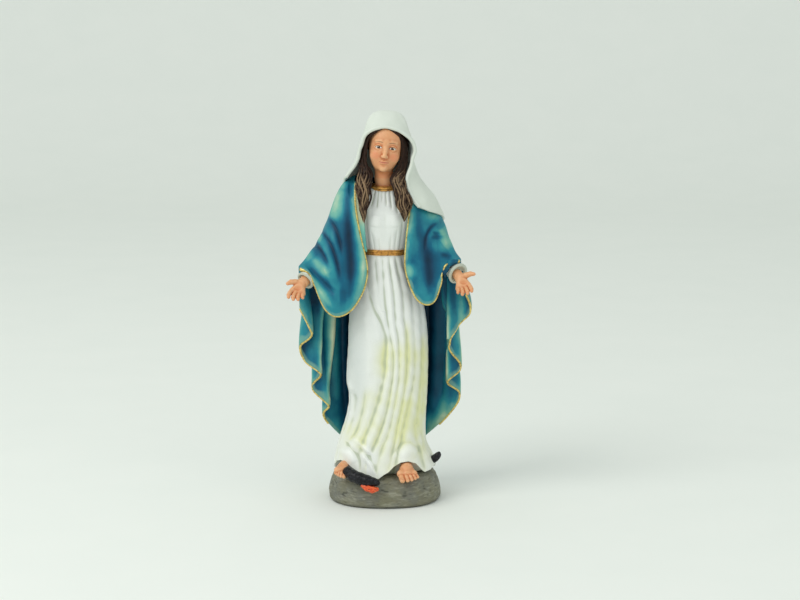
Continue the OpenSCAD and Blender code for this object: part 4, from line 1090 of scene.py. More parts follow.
def press(grid, ridgeRow, spots):  # smooths the cloth where the panel gathers too tightly
    rows = np.arange(len(grid))[:, None]
    inside = smooth(rows, 3, 22) * (1 - smooth(rows, ridgeRow - 22, ridgeRow - 6))
    for x, z, wide, high in spots:
        weight = 0.95 * inside * np.exp(-((grid[..., 0] - x) / wide) ** 2 - ((grid[..., 2] - z) / high) ** 2)
        for _ in range(4):
            grid = grid + weight[..., None] * (blurred(grid, (14, 14)) - grid)
    return grid


def insideShadeAndLight(x, z):  # painted shade and painted light on the inside of the mantle: darker behind the gown, paler in places
    behindRight, behindLeft = (1 - smooth(x * -1, 21.0, 26.0)) * (x < 0), (1 - smooth(x, 25.0, 32.0)) * (x >= 0)
    spray = -0.34 * behindRight - 0.38 * behindLeft - 0.12 * bell(np.abs(x), 34, 2.2)
    pale = [  # painted light: amount, sideways place and width, where it fades in going up
        (0.30, -43.0, 3.4, 78, 90), (0.34, 39.0, 2.6, 82, 92),
        (0.16, -28.4, 2.6, 76, 92), (0.12, 32.6, 1.6, 44, 62)]
    for amount, place, width, low, high in pale:
        spray = spray + amount * bell(x, place, width) * smooth(z, low, high)
    spray = spray + 0.50 * (1 - smooth(z, 34, 56)) * smooth(x, 19, 24)  # low down at the left
    return spray + 0.26 * (1 - smooth(z, 22, 46)) * smooth(np.abs(x), 8, 16) - 0.16 * smooth(z, 92, 108)


def makeMantle(look):
    frontRows, backRows = 130, 240
    grid, u = mantleGrid(look, 190, frontRows, backRows)
    ridgeRow = frontRows - 1
    hasFront = smooth(np.abs(u), look["ridgeStart"] - 0.02, look["ridgeStart"] + 0.03)
    grid = settle(grid, ridgeRow, 13, 110, hasFront)
    grid = press(grid, ridgeRow, look["press"])
    collapsed = np.abs(u) < look["ridgeStart"] - 1e-6  # no front sheet behind the neck
    grid[:ridgeRow, collapsed] = grid[ridgeRow, collapsed][None]
    rows = np.arange(len(grid))[:, None]
    isBack = smooth(rows, ridgeRow - 6, ridgeRow + 14) * np.ones_like(u)[None]
    normals = gridNormals(grid)
    flip = np.sign((normals[-40, len(u) // 2] * [0, 1, 0]).sum())
    normals = unit(blurred(normals * flip, (4, 4)))
    x, z = grid[..., 0], grid[..., 2]
    behind = smooth(normals[..., 1], 0.15, 0.6) * isBack
    push = stroked(x, z, look["frontFolds"]) * (1 - isBack)
    push -= stroked(x, z, look["wingFolds"]) * isBack * (1 - smooth(z, 100, 122)) * smooth(np.abs(x), 18, 23)
    push += stroked(x, z, look["backFolds"]) * behind
    push += 0.12 * noise(grid, 16, 5)
    grid = grid + normals * push[..., None]
    normals = unit(blurred(gridNormals(grid) * flip, (1, 1)))
    fold = (relief(grid, normals, (9, 8)) * 1.6).ravel()
    x, z = grid[..., 0], grid[..., 2]
    step = np.linalg.norm(np.diff(grid, axis=0, prepend=grid[:1]), axis=-1)
    fromEdge = np.cumsum(step, 0)
    toHem = fromEdge[-1:] - fromEdge
    frontEdge = (1 - smooth(fromEdge + 0.8 * noise(grid, 9, 8), 0.4, 2.6)) * (1 - isBack)
    hemEdge = (1 - smooth(toHem + 1.6 * noise(grid, 10, 3), 0.4, 5.0)) * isBack
    cuffEdge = smooth(np.abs(u), 0.96, 1.0)[None] * (1 - isBack)
    shade = (stroked(x, z, look["light"]) - stroked(x, z, look["shadow"])) * (1 - isBack)
    m, n = grid.shape[:2]
    ids = np.arange(m * n).reshape(m, n)
    ids[:ridgeRow, collapsed] = ids[ridgeRow, collapsed][None]
    quads = np.stack([ids[:-1, :-1], ids[1:, :-1], ids[1:, 1:], ids[:-1, 1:]], -1)
    keep = np.ones((m - 1, n - 1), bool)
    keep[:ridgeRow, :] = ~(collapsed[:-1] | collapsed[1:])[None]
    quads = quads[keep]
    if flip < 0:
        quads = quads[:, ::-1]
    outerEdge = np.maximum(np.maximum(frontEdge * 0.8, hemEdge * 0.9), cuffEdge * 0.6)
    outside = {"fold": fold, "edge": outerEdge.ravel(), "shade": shade.ravel()}
    inside = {"fold": -fold, "edge": np.maximum(hemEdge, frontEdge * 0.3).ravel(),
              "shade": insideShadeAndLight(x, z).ravel()}
    points, quads, used = compact(grid.reshape(-1, 3), quads)
    shell, faces = cloth(points, quads, look["thick"])
    values = {key: np.concatenate([outside[key][used], inside[key][used]]) for key in outside}
    solid = Solid().add(shell, faces, **values)
    solid.build("mantleDrape", mantleFinish, "mantle_blue", "mantle_back", "right_mantle_front",
                "left_mantle_front")
    return grid - normals * look["thick"] / 2, u, normals


edging = {"radius": 0.53, "flat": 0.95, "out": 0.34, "wobble": 0.07, "sides": 14, "hemFrom": 0.32}


def alongPath(values, lengths, s):  # values at even steps s along a path
    return np.stack([np.interp(s, lengths, values[:, k]) for k in range(3)], -1)


def makeEdging(name, path, inside, normals, node, look):
    path = path + unit(path - inside) * look["out"]
    lengths = np.concatenate([[0], np.cumsum(np.linalg.norm(np.diff(path, axis=0), axis=-1))])
    s = np.linspace(0, lengths[-1], int(lengths[-1] / 0.28))
    across = unit(alongPath(normals, lengths, s))
    path = blurred(alongPath(path, lengths, s)[:, None], (3, 0))[:, 0]
    ahead = unit(np.gradient(path, axis=0))
    side = unit(np.cross(across, ahead))
    rise = np.cross(ahead, side)
    a = np.linspace(0, 2 * np.pi, look["sides"], endpoint=False)
    radius = look["radius"] * (1 + look["wobble"] * noise(path, 7, 31) + 0.05 * noise(path, 1.8, 3))
    radius = radius * rounded(len(s), 0.6 / max(s[-1], 1))
    if "front" in node:  # laid on thicker round the wrist
        radius = radius * (1 + 0.55 * smooth(s / s[-1], 0.93, 0.985) * (1 + 0.25 * np.sin(s * 3.1)))
    wide, high = side[:, None] * 1.05, rise[:, None] * 1.15 * look["flat"]
    c, n = np.cos(a)[None, :, None], np.sin(a)[None, :, None]
    rings = path[:, None] + radius[:, None, None] * (wide * c + high * n)
    Solid().loft(rings, fold=0.3 * noise(path, 2.2, 12)[:, None]).build(name, giltFinish, "gilt", node)


lining = {
    "thick": 0.8, "until": 0.36,  # how far down the edge it goes, and its way in at the top and at the bottom
    "right": [[8.6, 0.1, 0.0], [2.2, 0.2, -1.0]], "left": [[-2.2, 2.0, 0.0], [-0.4, 1.2, -1.0]]}


def makeLining(side, edge, look):  # the cloth turned in behind the front edge, beside the breast
    t = np.linspace(0, 1, 90)
    path = spline(edge[:: max(1, len(edge) // 24)], t * look["until"])
    first, last = (np.array(v) for v in look[side])
    step = first[None] * (1 - t[:, None]) + last[None] * t[:, None]
    s = np.linspace(0, 1, 40)
    bulge = np.array([0, 0.5, 0]) * np.sin(np.pi * s)[None, :, None]
    grid = path[:, None] + step[:, None] * s[None, :, None] + bulge
    points = grid.reshape(-1, 3) + np.array([0, 0.35, 0])
    quads = gridFaces(*grid.shape[:2])
    if side == "right":
        quads = quads[:, ::-1]
    shell, faces = cloth(points, quads, look["thick"])
    pale = 0.1 + 0.34 * smooth(grid[..., 2], 140, 150) + 0.16
    solid = Solid().add(shell, faces, fold=0.0, edge=0.2, shade=np.tile(pale.ravel(), 2))
    solid.build(side + "Lining", mantleFinish, "mantle_blue", side + "_mantle_front")


veil = {
    "thick": 1.3,
    "lines": [
        [[-19.8, -5.4, 166.8], [-20.6, -1.4, 165.6], [-21.4, 2.8, 162.2], [-22.0, 7, 156.2],
         [-21.6, 10.6, 148], [-20.8, 12.8, 140]],
        [[-14.7, -7.4, 173.2], [-15.6, -0.6, 172.8], [-16.4, 6.6, 167.2], [-17.8, 11.4, 158],
         [-16.6, 14.4, 145], [-15.2, 16.2, 131]],
        [[-12.2, -9.2, 181.4], [-12.1, -1.2, 182.2], [-11.6, 8.4, 177.4], [-11.2, 13.6, 163],
         [-10.4, 16.6, 145], [-9.6, 18.4, 124]],
        [[-8.6, -11.8, 189.4], [-7.3, -2.2, 196.8], [-6.6, 10.4, 189.6], [-5.4, 15.4, 168], [-5, 17.6, 146],
         [-4.8, 19.6, 119.6]],
        [[1.0, -12.8, 192.4], [1.4, -2.2, 199.6], [1.2, 11.6, 191.6], [0.4, 16.2, 169], [0, 18, 146],
         [0, 20, 118]],
        [[10.6, -11.6, 188.6], [10.0, -1.6, 196.4], [8.4, 10.4, 188.4], [6.2, 15.4, 168], [5.4, 17.6, 146],
         [5, 19.6, 119.6]],
        [[15.4, -9.4, 181.4], [13.8, -1.6, 181.6], [13.4, 8.2, 176.4], [12, 13.6, 162], [11, 16.6, 145],
         [10, 18.4, 124]],
        [[14.2, -9.8, 173.6], [14.8, -2.0, 171.6], [18.4, 5.8, 165], [19, 11.4, 155], [17.4, 14.4, 144],
         [15.8, 16.2, 131]],
        [[11.6, -11.6, 164.8], [19.0, -5.8, 162.6], [25, -0.2, 157], [27, 6, 150], [24.6, 10.8, 143],
         [21.6, 13.6, 135.6]],
        [[14.6, -13.0, 156.4], [21.4, -10.2, 154.8], [27.2, -4.4, 151.4], [29.8, 2.4, 147],
         [28.4, 8.4, 142.4], [25.0, 12.2, 137.8]],
        [[18.2, -13.0, 152.0], [22.6, -10.6, 149.8], [27.2, -5.8, 147.8], [30.4, 1.4, 145.4],
         [29.8, 6.8, 142], [27.4, 10.4, 139.2]]],
    "backFolds": [
        ([[-2.6, 190], [-4.4, 170], [-5.4, 148], [-6, 122]], 1.8, -0.8, 1.5),
        ([[3.6, 190], [4.4, 170], [4.8, 148], [5.2, 122]], 1.8, -0.8, 1.5),
        ([[-8, 184], [-11, 166], [-12.4, 148], [-12.4, 128]], 1.7, -0.8, 1.5),
        ([[9, 184], [11.4, 166], [12.8, 148], [12.6, 128]], 1.7, -0.8, 1.5),
        ([[0.6, 186], [0, 168], [-0.2, 146], [-0.4, 120]], 2.4, 0.6, 2),
        ([[-14, 176], [-18, 160], [-19.4, 146]], 1.6, -0.7, 1.5),
        ([[14.6, 174], [19.4, 160], [21.4, 146]], 1.6, -0.7, 1.5)],
    "sideFolds": [
        ([[-13.6, 186], [-15.6, 178], [-18.6, 170], [-21, 163]], 0.9, -0.5, 1.5),
        ([[-10.6, 191], [-14.2, 182], [-17, 174]], 1.3, 0.4, 2),
        ([[13.6, 184], [15.4, 176], [19, 167], [24, 158]], 1.0, -0.6, 1.5),
        ([[12.4, 189], [16.4, 177], [21, 167], [26, 156]], 1.4, 0.5, 2),
        ([[15.4, 170], [19.4, 163], [25, 154.6]], 0.9, -0.5, 1.5),
        ([[-4, 199], [-6.6, 195], [-9.6, 189.6]], 1.4, -0.35, 1.6),
        ([[5.6, 199], [8.8, 195], [12, 188.6]], 1.4, -0.35, 1.6)]}


def makeVeil(look):
    down, across = crowded(230, 0.6), crowded(330, 0.5)
    lines = np.array([spline(line, down) for line in look["lines"]])
    grid = spline(lines.reshape(len(lines), -1), across).reshape(len(across), len(down), 3)
    normals = gridNormals(grid)
    flip = np.sign(normals[len(across) // 2, 60] @ np.array([0, 0.5, 1.0]))
    normals = unit(blurred(normals * flip, (3, 3)))
    x, z = grid[..., 0], grid[..., 2]
    behind = smooth(normals[..., 1], 0.2, 0.7)
    sides = 1 - smooth(normals[..., 1], 0.0, 0.5)
    push = stroked(x, z, look["backFolds"]) * behind + stroked(x, z, look["sideFolds"]) * sides
    push = push + 0.10 * noise(grid, 11, 6)
    grid = grid + normals * push[..., None]
    normals = unit(gridNormals(grid) * flip)
    fold = relief(grid, normals, (6, 5)) * 2.4 + relief(grid, normals, (3, 2)) * 2.4
    rim = (1 - smooth(down, 0.0, 0.04))[None]
    # painted shade in the low folds and along the edge round the face
    dusk = 0.4 * (1 - smooth(grid[..., 2], 124, 150)) * smooth(-fold, 0, 1) + 0.25 * rim
    quads = gridFaces(*grid.shape[:2])
    if flip < 0:
        quads = quads[:, ::-1]
    shell, faces = cloth(grid.reshape(-1, 3), quads, look["thick"])
    fold = np.concatenate([fold.ravel(), -fold.ravel()])
    dusk = np.concatenate([dusk.ravel(), np.full(dusk.size, 0.9)])  # painted shade all over the inside
    Solid().add(shell, faces, fold=fold, wash=0.05,
                dusk=dusk).build("veilDrape", veilFinish, "veil_white", "veil")
    return grid[:, 0] - normals[:, 0] * look["thick"] * 0.3


veilRim = {"radius": 0.95, "sides": 16}


def makeVeilRim(rim, look):  # the rolled edge round the face
    steps = 300
    path = spline(rim[::6], np.linspace(0, 1, steps))
    radius = look["radius"] * (1 + 0.08 * noise(path, 9, 4)) * rounded(steps, 0.02)
    rings = tubeRings(path, radius, look["sides"], (0, -1, 0.2))
    # the high fold value paints the rolled edge a little lighter, as a painted highlight
    Solid().loft(rings, fold=0.9, wash=0.0, dusk=0.0).build("veilEdge", veilFinish, "veil_white", "veil_rim")


mantleMid, mantleU, mantleNormals = makeMantle(mantle)


# half of a rim, from the middle outwards: its path, the cloth inside it, its normals
def rimOf(row, nextRow, sign, start):
    half = sign * mantleU >= start
    return [part[half][::sign] for part in (mantleMid[row], mantleMid[nextRow], mantleNormals[row])]


bothSides = (("right", -1), ("left", 1))
for side, sign in bothSides:
    makeEdging(side + "FrontEdging", *rimOf(0, 2, sign, mantle["ridgeStart"]), side + "_front_trim", edging)
for side, sign in bothSides:
    makeLining(side, rimOf(0, 2, sign, mantle["ridgeStart"])[0], lining)
for side, sign in bothSides:
    makeEdging(side + "SideEdging", *rimOf(-1, -3, sign, edging["hemFrom"]), side + "_side_trim", edging)
makeVeilRim(makeVeil(veil), veilRim)


head = {
    "pivot": [-0.5, 0, 172.0], "roll": 7.5, "step": 0.27,
    "eyeOut": fleshLook["eye"]["out"], "eyeZ": fleshLook["eye"]["z"], "lipZ": fleshLook["lipZ"],
    "noseZ": 177.0,
    "neck": [[0, -2.5, 157], [0, -3.0, 165], [-0.2, -4.0, 173]], "neckRadius": [4.75, 4.45, 4.7]}


def rolled(q, a):
    c, n = math.cos(a), math.sin(a)
    return np.stack([q[..., 0] * c - q[..., 2] * n, q[..., 1], q[..., 0] * n + q[..., 2] * c], -1)


def unroll(p, look):  # from the leaning head back to an upright one
    q = p - np.array(look["pivot"])
    return rolled(q, math.radians(look["roll"])) + np.array([0, 0, look["pivot"][2]])


def skull(q):  # the plain head, before the features
    side = np.stack([np.abs(q[..., 0]), q[..., 1], q[..., 2]], -1)
    d = blend(ball(q, (0, -2.6, 184.6), (9.0, 10.2, 9.6)), ball(q, (0, -6.0, 179.4), (7.9, 8.2, 9.6)), 2.0)
    d = blend(d, ball(q, (0, -8.0, 186.4), (6.6, 5.6, 5.6)), 3.0)
    d = blend(d, ball(q, (0, -8.6, 173.8), (5.0, 4.9, 4.3)), 2.4)
    d = blend(d, ball(q, (0, -12.1, 171.3), (1.7, 1.6, 1.5)), 1.8)
    d = blend(d, ball(side, (4.2, -10.6, 177.2), (2.7, 2.7, 2.9)), 2.0)
    return d, side


def surfaceY(x, z):  # where the front of the plain face is
    y = np.linspace(-18, -6, 481)
    p = np.stack([np.full_like(y, x), y, np.full_like(y, z)], -1)
    return float(y[np.argmax(skull(p)[0] < 0)])


def headShape(look):
    eye = np.array([look["eyeOut"], surfaceY(look["eyeOut"], look["eyeZ"]) + 1.75, look["eyeZ"]])
    lipZ, noseZ = look["lipZ"], look["noseZ"]
    bridge = surfaceY(0, 183.6)
    lidUp = [[-2.0, -0.35, 0.05], [-1.35, -1.42, 0.88], [-0.4, -1.86, 1.18], [0.6, -1.83, 1.14],
             [1.5, -1.3, 0.72], [2.15, -0.3, -0.12]]
    lidLow = [[-1.9, -0.5, -0.25], [-1.0, -1.6, -0.78], [0.1, -1.9, -0.92], [1.2, -1.5, -0.72],
              [2.05, -0.4, -0.25]]
    mouthY = [surfaceY(x, lipZ) for x in (0, 1.1, 2.1, 2.9)]
    upper = [[0, mouthY[0] - 0.12, lipZ + 0.36], [0.9, mouthY[1] - 0.12, lipZ + 0.42],
             [1.8, mouthY[2] + 0.1, lipZ + 0.24], [2.5, mouthY[3] + 0.4, lipZ + 0.06]]
    lower = [[0, mouthY[0] - 0.12, lipZ - 0.42], [1.1, mouthY[1] - 0.06, lipZ - 0.38],
             [1.8, mouthY[2] + 0.16, lipZ - 0.22], [2.4, mouthY[3] + 0.44, lipZ]]

    def shape(p):
        q = unroll(p, look)
        d, side = skull(q)
        d = carve(d, ball(side, (3.5, -15.4, 181.9), (2.5, 2.3, 1.55)), 1.0)
        d = blend(d, bead(side, [[0.9, bridge + 0.5, 184.2], [2.6, bridge + 0.8, 184.8],
                                 [4.9, bridge + 1.9, 184.5]], [0.22, 0.24, 0.18]), 1.6)
        d = blend(d, bead(q, [[0, bridge + 0.9, 184.8], [0, bridge + 0.25, 182.0], [0, bridge - 0.7, 179.6],
                              [0, bridge - 1.5, noseZ + 0.85]], [0.85, 0.9, 0.98, 1.08]), 1.4)
        d = blend(d, ball(side, (1.05, bridge - 0.75, noseZ + 0.4), (0.72, 0.95, 0.66)), 0.8)
        d = carve(d, ball(side, (0.6, bridge - 1.5, noseZ - 0.42), (0.32, 0.5, 0.3)), 0.25)
        d = blend(d, ball(side, eye, (1.8, 1.8, 1.8)), 0.12)
        lids = bead(side, [eye + np.array(v) * 0.93 for v in lidUp], [0.22, 0.3, 0.32, 0.32, 0.3, 0.2], 0.1)
        lids = np.minimum(lids, bead(side, [eye + np.array(v) * 0.93 for v in lidLow],
                                     [0.16, 0.22, 0.24, 0.22, 0.16], 0.1))
        d = blend(d, lids, 0.28)
        d = blend(d, bead(side, upper, [0.34, 0.33, 0.26, 0.12], 0.2), 0.4)
        d = blend(d, bead(side, lower, [0.42, 0.38, 0.28, 0.12], 0.2), 0.45)
        d = carve(d, bead(side, [[0, mouthY[0] - 0.46, lipZ + 0.02], [1.4, mouthY[1] - 0.34, lipZ + 0.04],
                                 [2.5, mouthY[3] + 0.05, lipZ + 0.06]], [0.15, 0.13, 0.08], 0.1), 0.25)
        d = carve(d, bead(q, [[0, mouthY[0] - 0.35, noseZ - 0.7], [0, mouthY[0] - 0.4, lipZ + 1.0]],
                          [0.16, 0.2], 0.1), 0.4)
        d = carve(d, ball(q, (0, mouthY[0] - 0.6, lipZ - 1.75), (1.3, 0.5, 0.4)), 0.8)
        return blend(d, bead(p, look["neck"], look["neckRadius"], 1.5), 2.2)
    return shape


def concave(shape, points, size):  # minus in hollows and plus on proud places
    push = size * np.array([[1, 0, 0], [-1, 0, 0], [0, 1, 0], [0, -1, 0], [0, 0, 1], [0, 0, -1.0]])
    return -0.5 + sum(shape(points + v) for v in push) / size * 0.5


def makeHead(look):
    shape = headShape(look)
    points, quads = carved(shape, (-11.5, -18, 157.5), (13.5, 10, 197), look["step"])
    at = unroll(points, look)
    fold = np.clip(concave(shape, points, 0.7), -1.5, 1.5)
    # painted shade under the chin and low on the neck
    warm = 0.6 * smooth(-at[:, 2], -170.8, -169.2) * (points[:, 2] > 166)
    warm = warm + 0.5 * (1 - smooth(points[:, 2], 160.5, 164.5))
    Solid().add(points, quads, fold=fold, warm=warm,
                faceAt=at).build("headAndNeck", faceFinish, "skin", "head")


hands = {
    "right": {
        "wrist": [[-39.2, -14.0, 115.8], [-40.8, -16.0, 114.2]], "heel": [-41.8, -17.0, 113.6],
        "palm": [-43.2, -19.0, 111.8],
        "fingers": [
            [[-45.9, -19.8, 111.0], [-47.0, -22.0, 110.2], [-47.5, -23.9, 109.4], [-47.5, -25.4, 108.5]],
            [[-44.2, -20.4, 109.9], [-44.9, -22.8, 109.0], [-45.2, -24.8, 108.3], [-45.1, -26.2, 107.6]],
            [[-42.4, -20.6, 109.3], [-42.8, -23.0, 108.6], [-42.9, -24.9, 108.0], [-42.7, -26.2, 107.5]],
            [[-40.7, -20.2, 109.3], [-40.8, -22.2, 108.8], [-40.7, -23.8, 108.4], [-40.5, -25.0, 108.1]]],
        "thumb": [[-42.4, -17.2, 114.2], [-44.6, -17.9, 114.9], [-46.6, -18.9, 115.1],
                  [-48.1, -20.0, 114.5]]},
    "left": {
        "wrist": [[36.6, -14.0, 118.3], [38.0, -16.0, 116.7]], "heel": [38.4, -17.0, 116.5],
        "palm": [39.6, -19.0, 114.9],
        "fingers": [
            [[42.1, -19.8, 113.7], [42.9, -22.0, 113.1], [43.4, -23.9, 112.4], [43.5, -25.4, 111.6]],
            [[40.5, -20.4, 112.7], [41.1, -22.8, 111.9], [41.4, -24.8, 111.2], [41.4, -26.2, 110.5]],
            [[38.7, -20.6, 112.0], [39.0, -23.0, 111.3], [39.1, -24.9, 110.7], [38.9, -26.2, 110.1]],
            [[37.0, -20.2, 112.0], [37.0, -22.2, 111.5], [36.9, -23.8, 111.1], [36.7, -25.0, 110.7]]],
        "thumb": [[39.0, -17.2, 117.1], [41.0, -17.9, 118.3], [43.0, -18.9, 119.2], [44.7, -20.0, 119.3]]},
    "fingerRadius": [1.26, 1.16, 1.06, 0.84], "slim": [1.0, 1.03, 1.0, 0.88],
    "thumbRadius": [1.8, 1.5, 1.26, 0.92], "step": 0.21}


def makeHand(side, look):
    hand = look[side]
    bases = [f[0] for f in hand["fingers"]]

    def shape(p):
        d = rod(p, hand["wrist"][0], hand["wrist"][1], 2.6, 2.5)
        d = blend(d, rod(p, hand["wrist"][1], hand["palm"], 2.5, 2.0), 1.0)
        for base in bases:
            d = blend(d, rod(p, hand["heel"], base, 2.1, 1.4), 0.9)
        hollow = np.array(hand["palm"]) + [0, -1.9, 1.0]
        d = carve(d, ball(p, hollow, (1.8, 0.8, 1.6)), 0.9)
        fingers = None
        for finger, slim in zip(hand["fingers"], look["slim"]):
            one = bead(p, finger, [r * slim for r in look["fingerRadius"]], 0.12)
            for joint in (1, 2):
                one = blend(one, ball(p, np.array(finger[joint]) + [0, -0.15, 0], 0.98 * slim), 0.25)
            fingers = one if fingers is None else blend(fingers, one, 0.16)
        d = blend(d, fingers, 0.5)
        thumb = bead(p, hand["thumb"], look["thumbRadius"], 0.3)
        return blend(d, thumb, 0.55)

    every = np.array([v for f in hand["fingers"] for v in f] + hand["thumb"] + hand["wrist"])
    points, quads = carved(shape, every.min(0) - 2.6, every.max(0) + 2.6, look["step"])
    fold = np.clip(concave(shape, points, 0.55) * 0.9, -1.6, 1.6)
    tips = np.array([f[3] for f in hand["fingers"]] + [hand["thumb"][3]])
    fromTips = np.linalg.norm(points[:, None] - tips[None], axis=-1).min(1)
    fromPalm = np.linalg.norm(points - np.array(hand["palm"]) - [0, -1, 0], axis=-1)
    warm = np.maximum(bell(fromTips, 0, 1.5) * 0.7, bell(fromPalm, 0, 2.2) * 0.45)
    Solid().add(points, quads, fold=fold, warm=warm).build(side + "Hand", fleshFinish, "skin", side + "_hand")


feet = {
    "right": {
        "sole": [[-20.4, -14.6, 19.4], [-21.2, -18.0, 19.7], [-21.9, -20.6, 18.9]],
        "soleRadius": [2.7, 2.4, 1.8], "spread": [1.7, 0.4, 0.0], "slim": 0.84,
        "toes": [[[-20.2, -20.9, 18.8], [-20.2, -22.8, 17.5], [-20.4, -24.0, 16.4]],
                 [[-21.4, -21.0, 19.0], [-21.7, -22.9, 17.9], [-21.9, -24.0, 16.6]],
                 [[-22.4, -20.7, 19.0], [-22.8, -22.4, 18.1], [-23.1, -23.5, 17.0]],
                 [[-23.3, -20.1, 19.0], [-23.8, -21.7, 18.3], [-24.1, -22.7, 17.3]],
                 [[-24.1, -19.3, 19.0], [-24.6, -20.7, 18.4], [-24.9, -21.5, 17.6]]]},
    "left": {
        "sole": [[11.0, -16.4, 19.4], [11.2, -20.4, 19.2], [11.6, -23.2, 17.6]],
        "soleRadius": [3.3, 3.0, 2.2], "spread": [3.4, 0.3, 0.0], "slim": 1.0,
        "toes": [[[8.3, -23.2, 17.3], [8.7, -25.8, 16.2], [9.2, -27.4, 15.2]],
                 [[10.5, -23.7, 17.4], [11.2, -26.2, 16.6], [11.8, -27.6, 15.3]],
                 [[12.3, -23.6, 17.4], [13.2, -25.8, 16.7], [13.8, -27, 15.6]],
                 [[13.9, -23, 17.3], [14.9, -24.9, 16.8], [15.5, -26, 16]],
                 [[15.3, -22, 17.2], [16.2, -23.6, 16.9], [16.8, -24.6, 16.3]]]},
    "toeRadius": [[1.45, 1.4, 1.32], [1.08, 1.04, 1.02], [1.02, 0.98, 0.96], [0.95, 0.9, 0.9],
                  [0.88, 0.84, 0.82]], "step": 0.2}


def makeFoot(side, look):
    foot = look[side]

    def shape(p):
        spread, heel, front = (np.array(v) for v in (foot["spread"], foot["sole"][0], foot["sole"][2]))
        d = bead(p, foot["sole"], foot["soleRadius"], 1.0)
        d = blend(d, rod(p, front - spread, front + spread, 1.75, 1.45), 1.1)
        d = blend(d, rod(p, heel, front - spread, 2.4, 1.6), 1.0)
        d = blend(d, rod(p, heel, front + spread, 2.4, 1.4), 1.0)
        for k, toe in enumerate(foot["toes"]):
            radius = [r * foot["slim"] for r in look["toeRadius"][k]]
            one, end = bead(p, toe, radius, 0.15), radius[2]
            nail = ball(p, np.array(toe[2]) + [0, -0.35 * end, 0.86 * end], (0.62 * end, 0.6 * end, 0.16))
            one = blend(one, nail, 0.08)
            d = blend(d, one, 0.22)
        return d

    every = np.array([v for toe in foot["toes"] for v in toe] + foot["sole"])
    points, quads = carved(shape, every.min(0) - 3.8, every.max(0) + 3.8, look["step"])
    fold = np.clip(concave(shape, points, 0.5) * 0.9, -1.6, 1.6)
    Solid().add(points, quads, fold=fold, warm=0.25).build(side + "Foot", fleshFinish, "skin", side + "_foot")


makeHead(head)
for side in ("right", "left"):
    makeHand(side, hands)
    makeFoot(side, feet)


hair = {
    "right": [
        [[0.5, -12.2, 192.6], [-5.0, -12.2, 190.2], [-8.2, -11.0, 185.8], [-9.2, -10, 180.2],
         [-9.0, -10, 174.6], [-7.4, -10.6, 169.4], [-6.4, -12, 164],
         [-6.9, -14.2, 158.4], [-8, -15.4, 152.6], [-9.4, -15.4, 147.5], [-9.8, -15, 144.8]],
        [[0.8, -10.6, 193.2], [-5.2, -11, 190.2], [-9.2, -8.6, 185.2], [-10.6, -7.2, 179.4],
         [-11, -7.6, 173.8], [-10.4, -10, 168], [-10.6, -13, 162.5],
         [-10.6, -15.6, 156.6], [-10.2, -16.2, 151], [-10, -15.8, 147], [-9.9, -15.2, 144.6]],
        [[1, -8.6, 194.2], [-5.6, -8.6, 191.6], [-9.6, -6.4, 185.8], [-10.8, -5.6, 179.4],
         [-11.8, -6.4, 173.6], [-13.3, -8.8, 167.4], [-13.5, -11.6, 162.4],
         [-12.3, -14, 156.4], [-11.5, -15, 150.8], [-10.8, -15.2, 147], [-10.1, -15, 144.8]]],
    "left": [
        [[0.5, -12.2, 192.6], [5.8, -12.2, 190.0], [8.5, -11.0, 185.8], [9, -10.2, 180], [8, -10, 175],
         [5.6, -10.6, 170.4], [4.2, -12, 165.4],
         [5.0, -14.2, 160], [6.6, -15.4, 153.8], [8.8, -15.6, 148.6], [9.8, -15, 145.4]],
        [[0.8, -10.6, 193.2], [6.2, -11, 190], [10, -8.6, 185.2], [11.2, -7.2, 180], [10.6, -7.8, 174.6],
         [8.4, -10, 169.4], [7.2, -13, 164.4],
         [8.4, -15.6, 158.4], [9.6, -16.2, 153], [10, -15.8, 148.4], [9.9, -15.2, 145.2]],
        [[1, -8.6, 194.2], [6.8, -8.6, 191.4], [10, -7.0, 186], [11, -6.6, 180], [11, -7.4, 174.4],
         [10.6, -9.4, 169], [10.8, -12.2, 164.2],
         [12.6, -14, 158], [12.9, -15, 152.6], [11.2, -15.4, 148], [10.2, -15, 145.4]]],
    "strands": 17, "under": 9, "wave": 0.6, "thick": 0.5, "seed": 11}


# a strand w of the way from the first guide to the last
def strandPath(guides, w, t, lift, wave, phase, beat):
    a, b, c = (spline(guide, t) for guide in guides)
    w = np.clip(w, 0, 1)[:, None]
    path = a * (1 - w) * (1 - 2 * w) + b * 4 * w * (1 - w) + c * w * (2 * w - 1)
    across = unit(c - a)
    ahead = unit(np.gradient(path, axis=0))
    out = np.cross(ahead, across)
    out = out * np.sign((out * [0, -1, 0.25]).sum(-1, keepdims=True))
    full = np.linalg.norm(c - a, axis=-1)
    sway = wave * np.sin(2 * np.pi * beat * t + phase)[:, None] * smooth(t, 0.25, 0.55)[:, None]
    path = path + out * lift[:, None] + across * sway * np.minimum(full, 6)[:, None] * 0.25
    return path, out, full


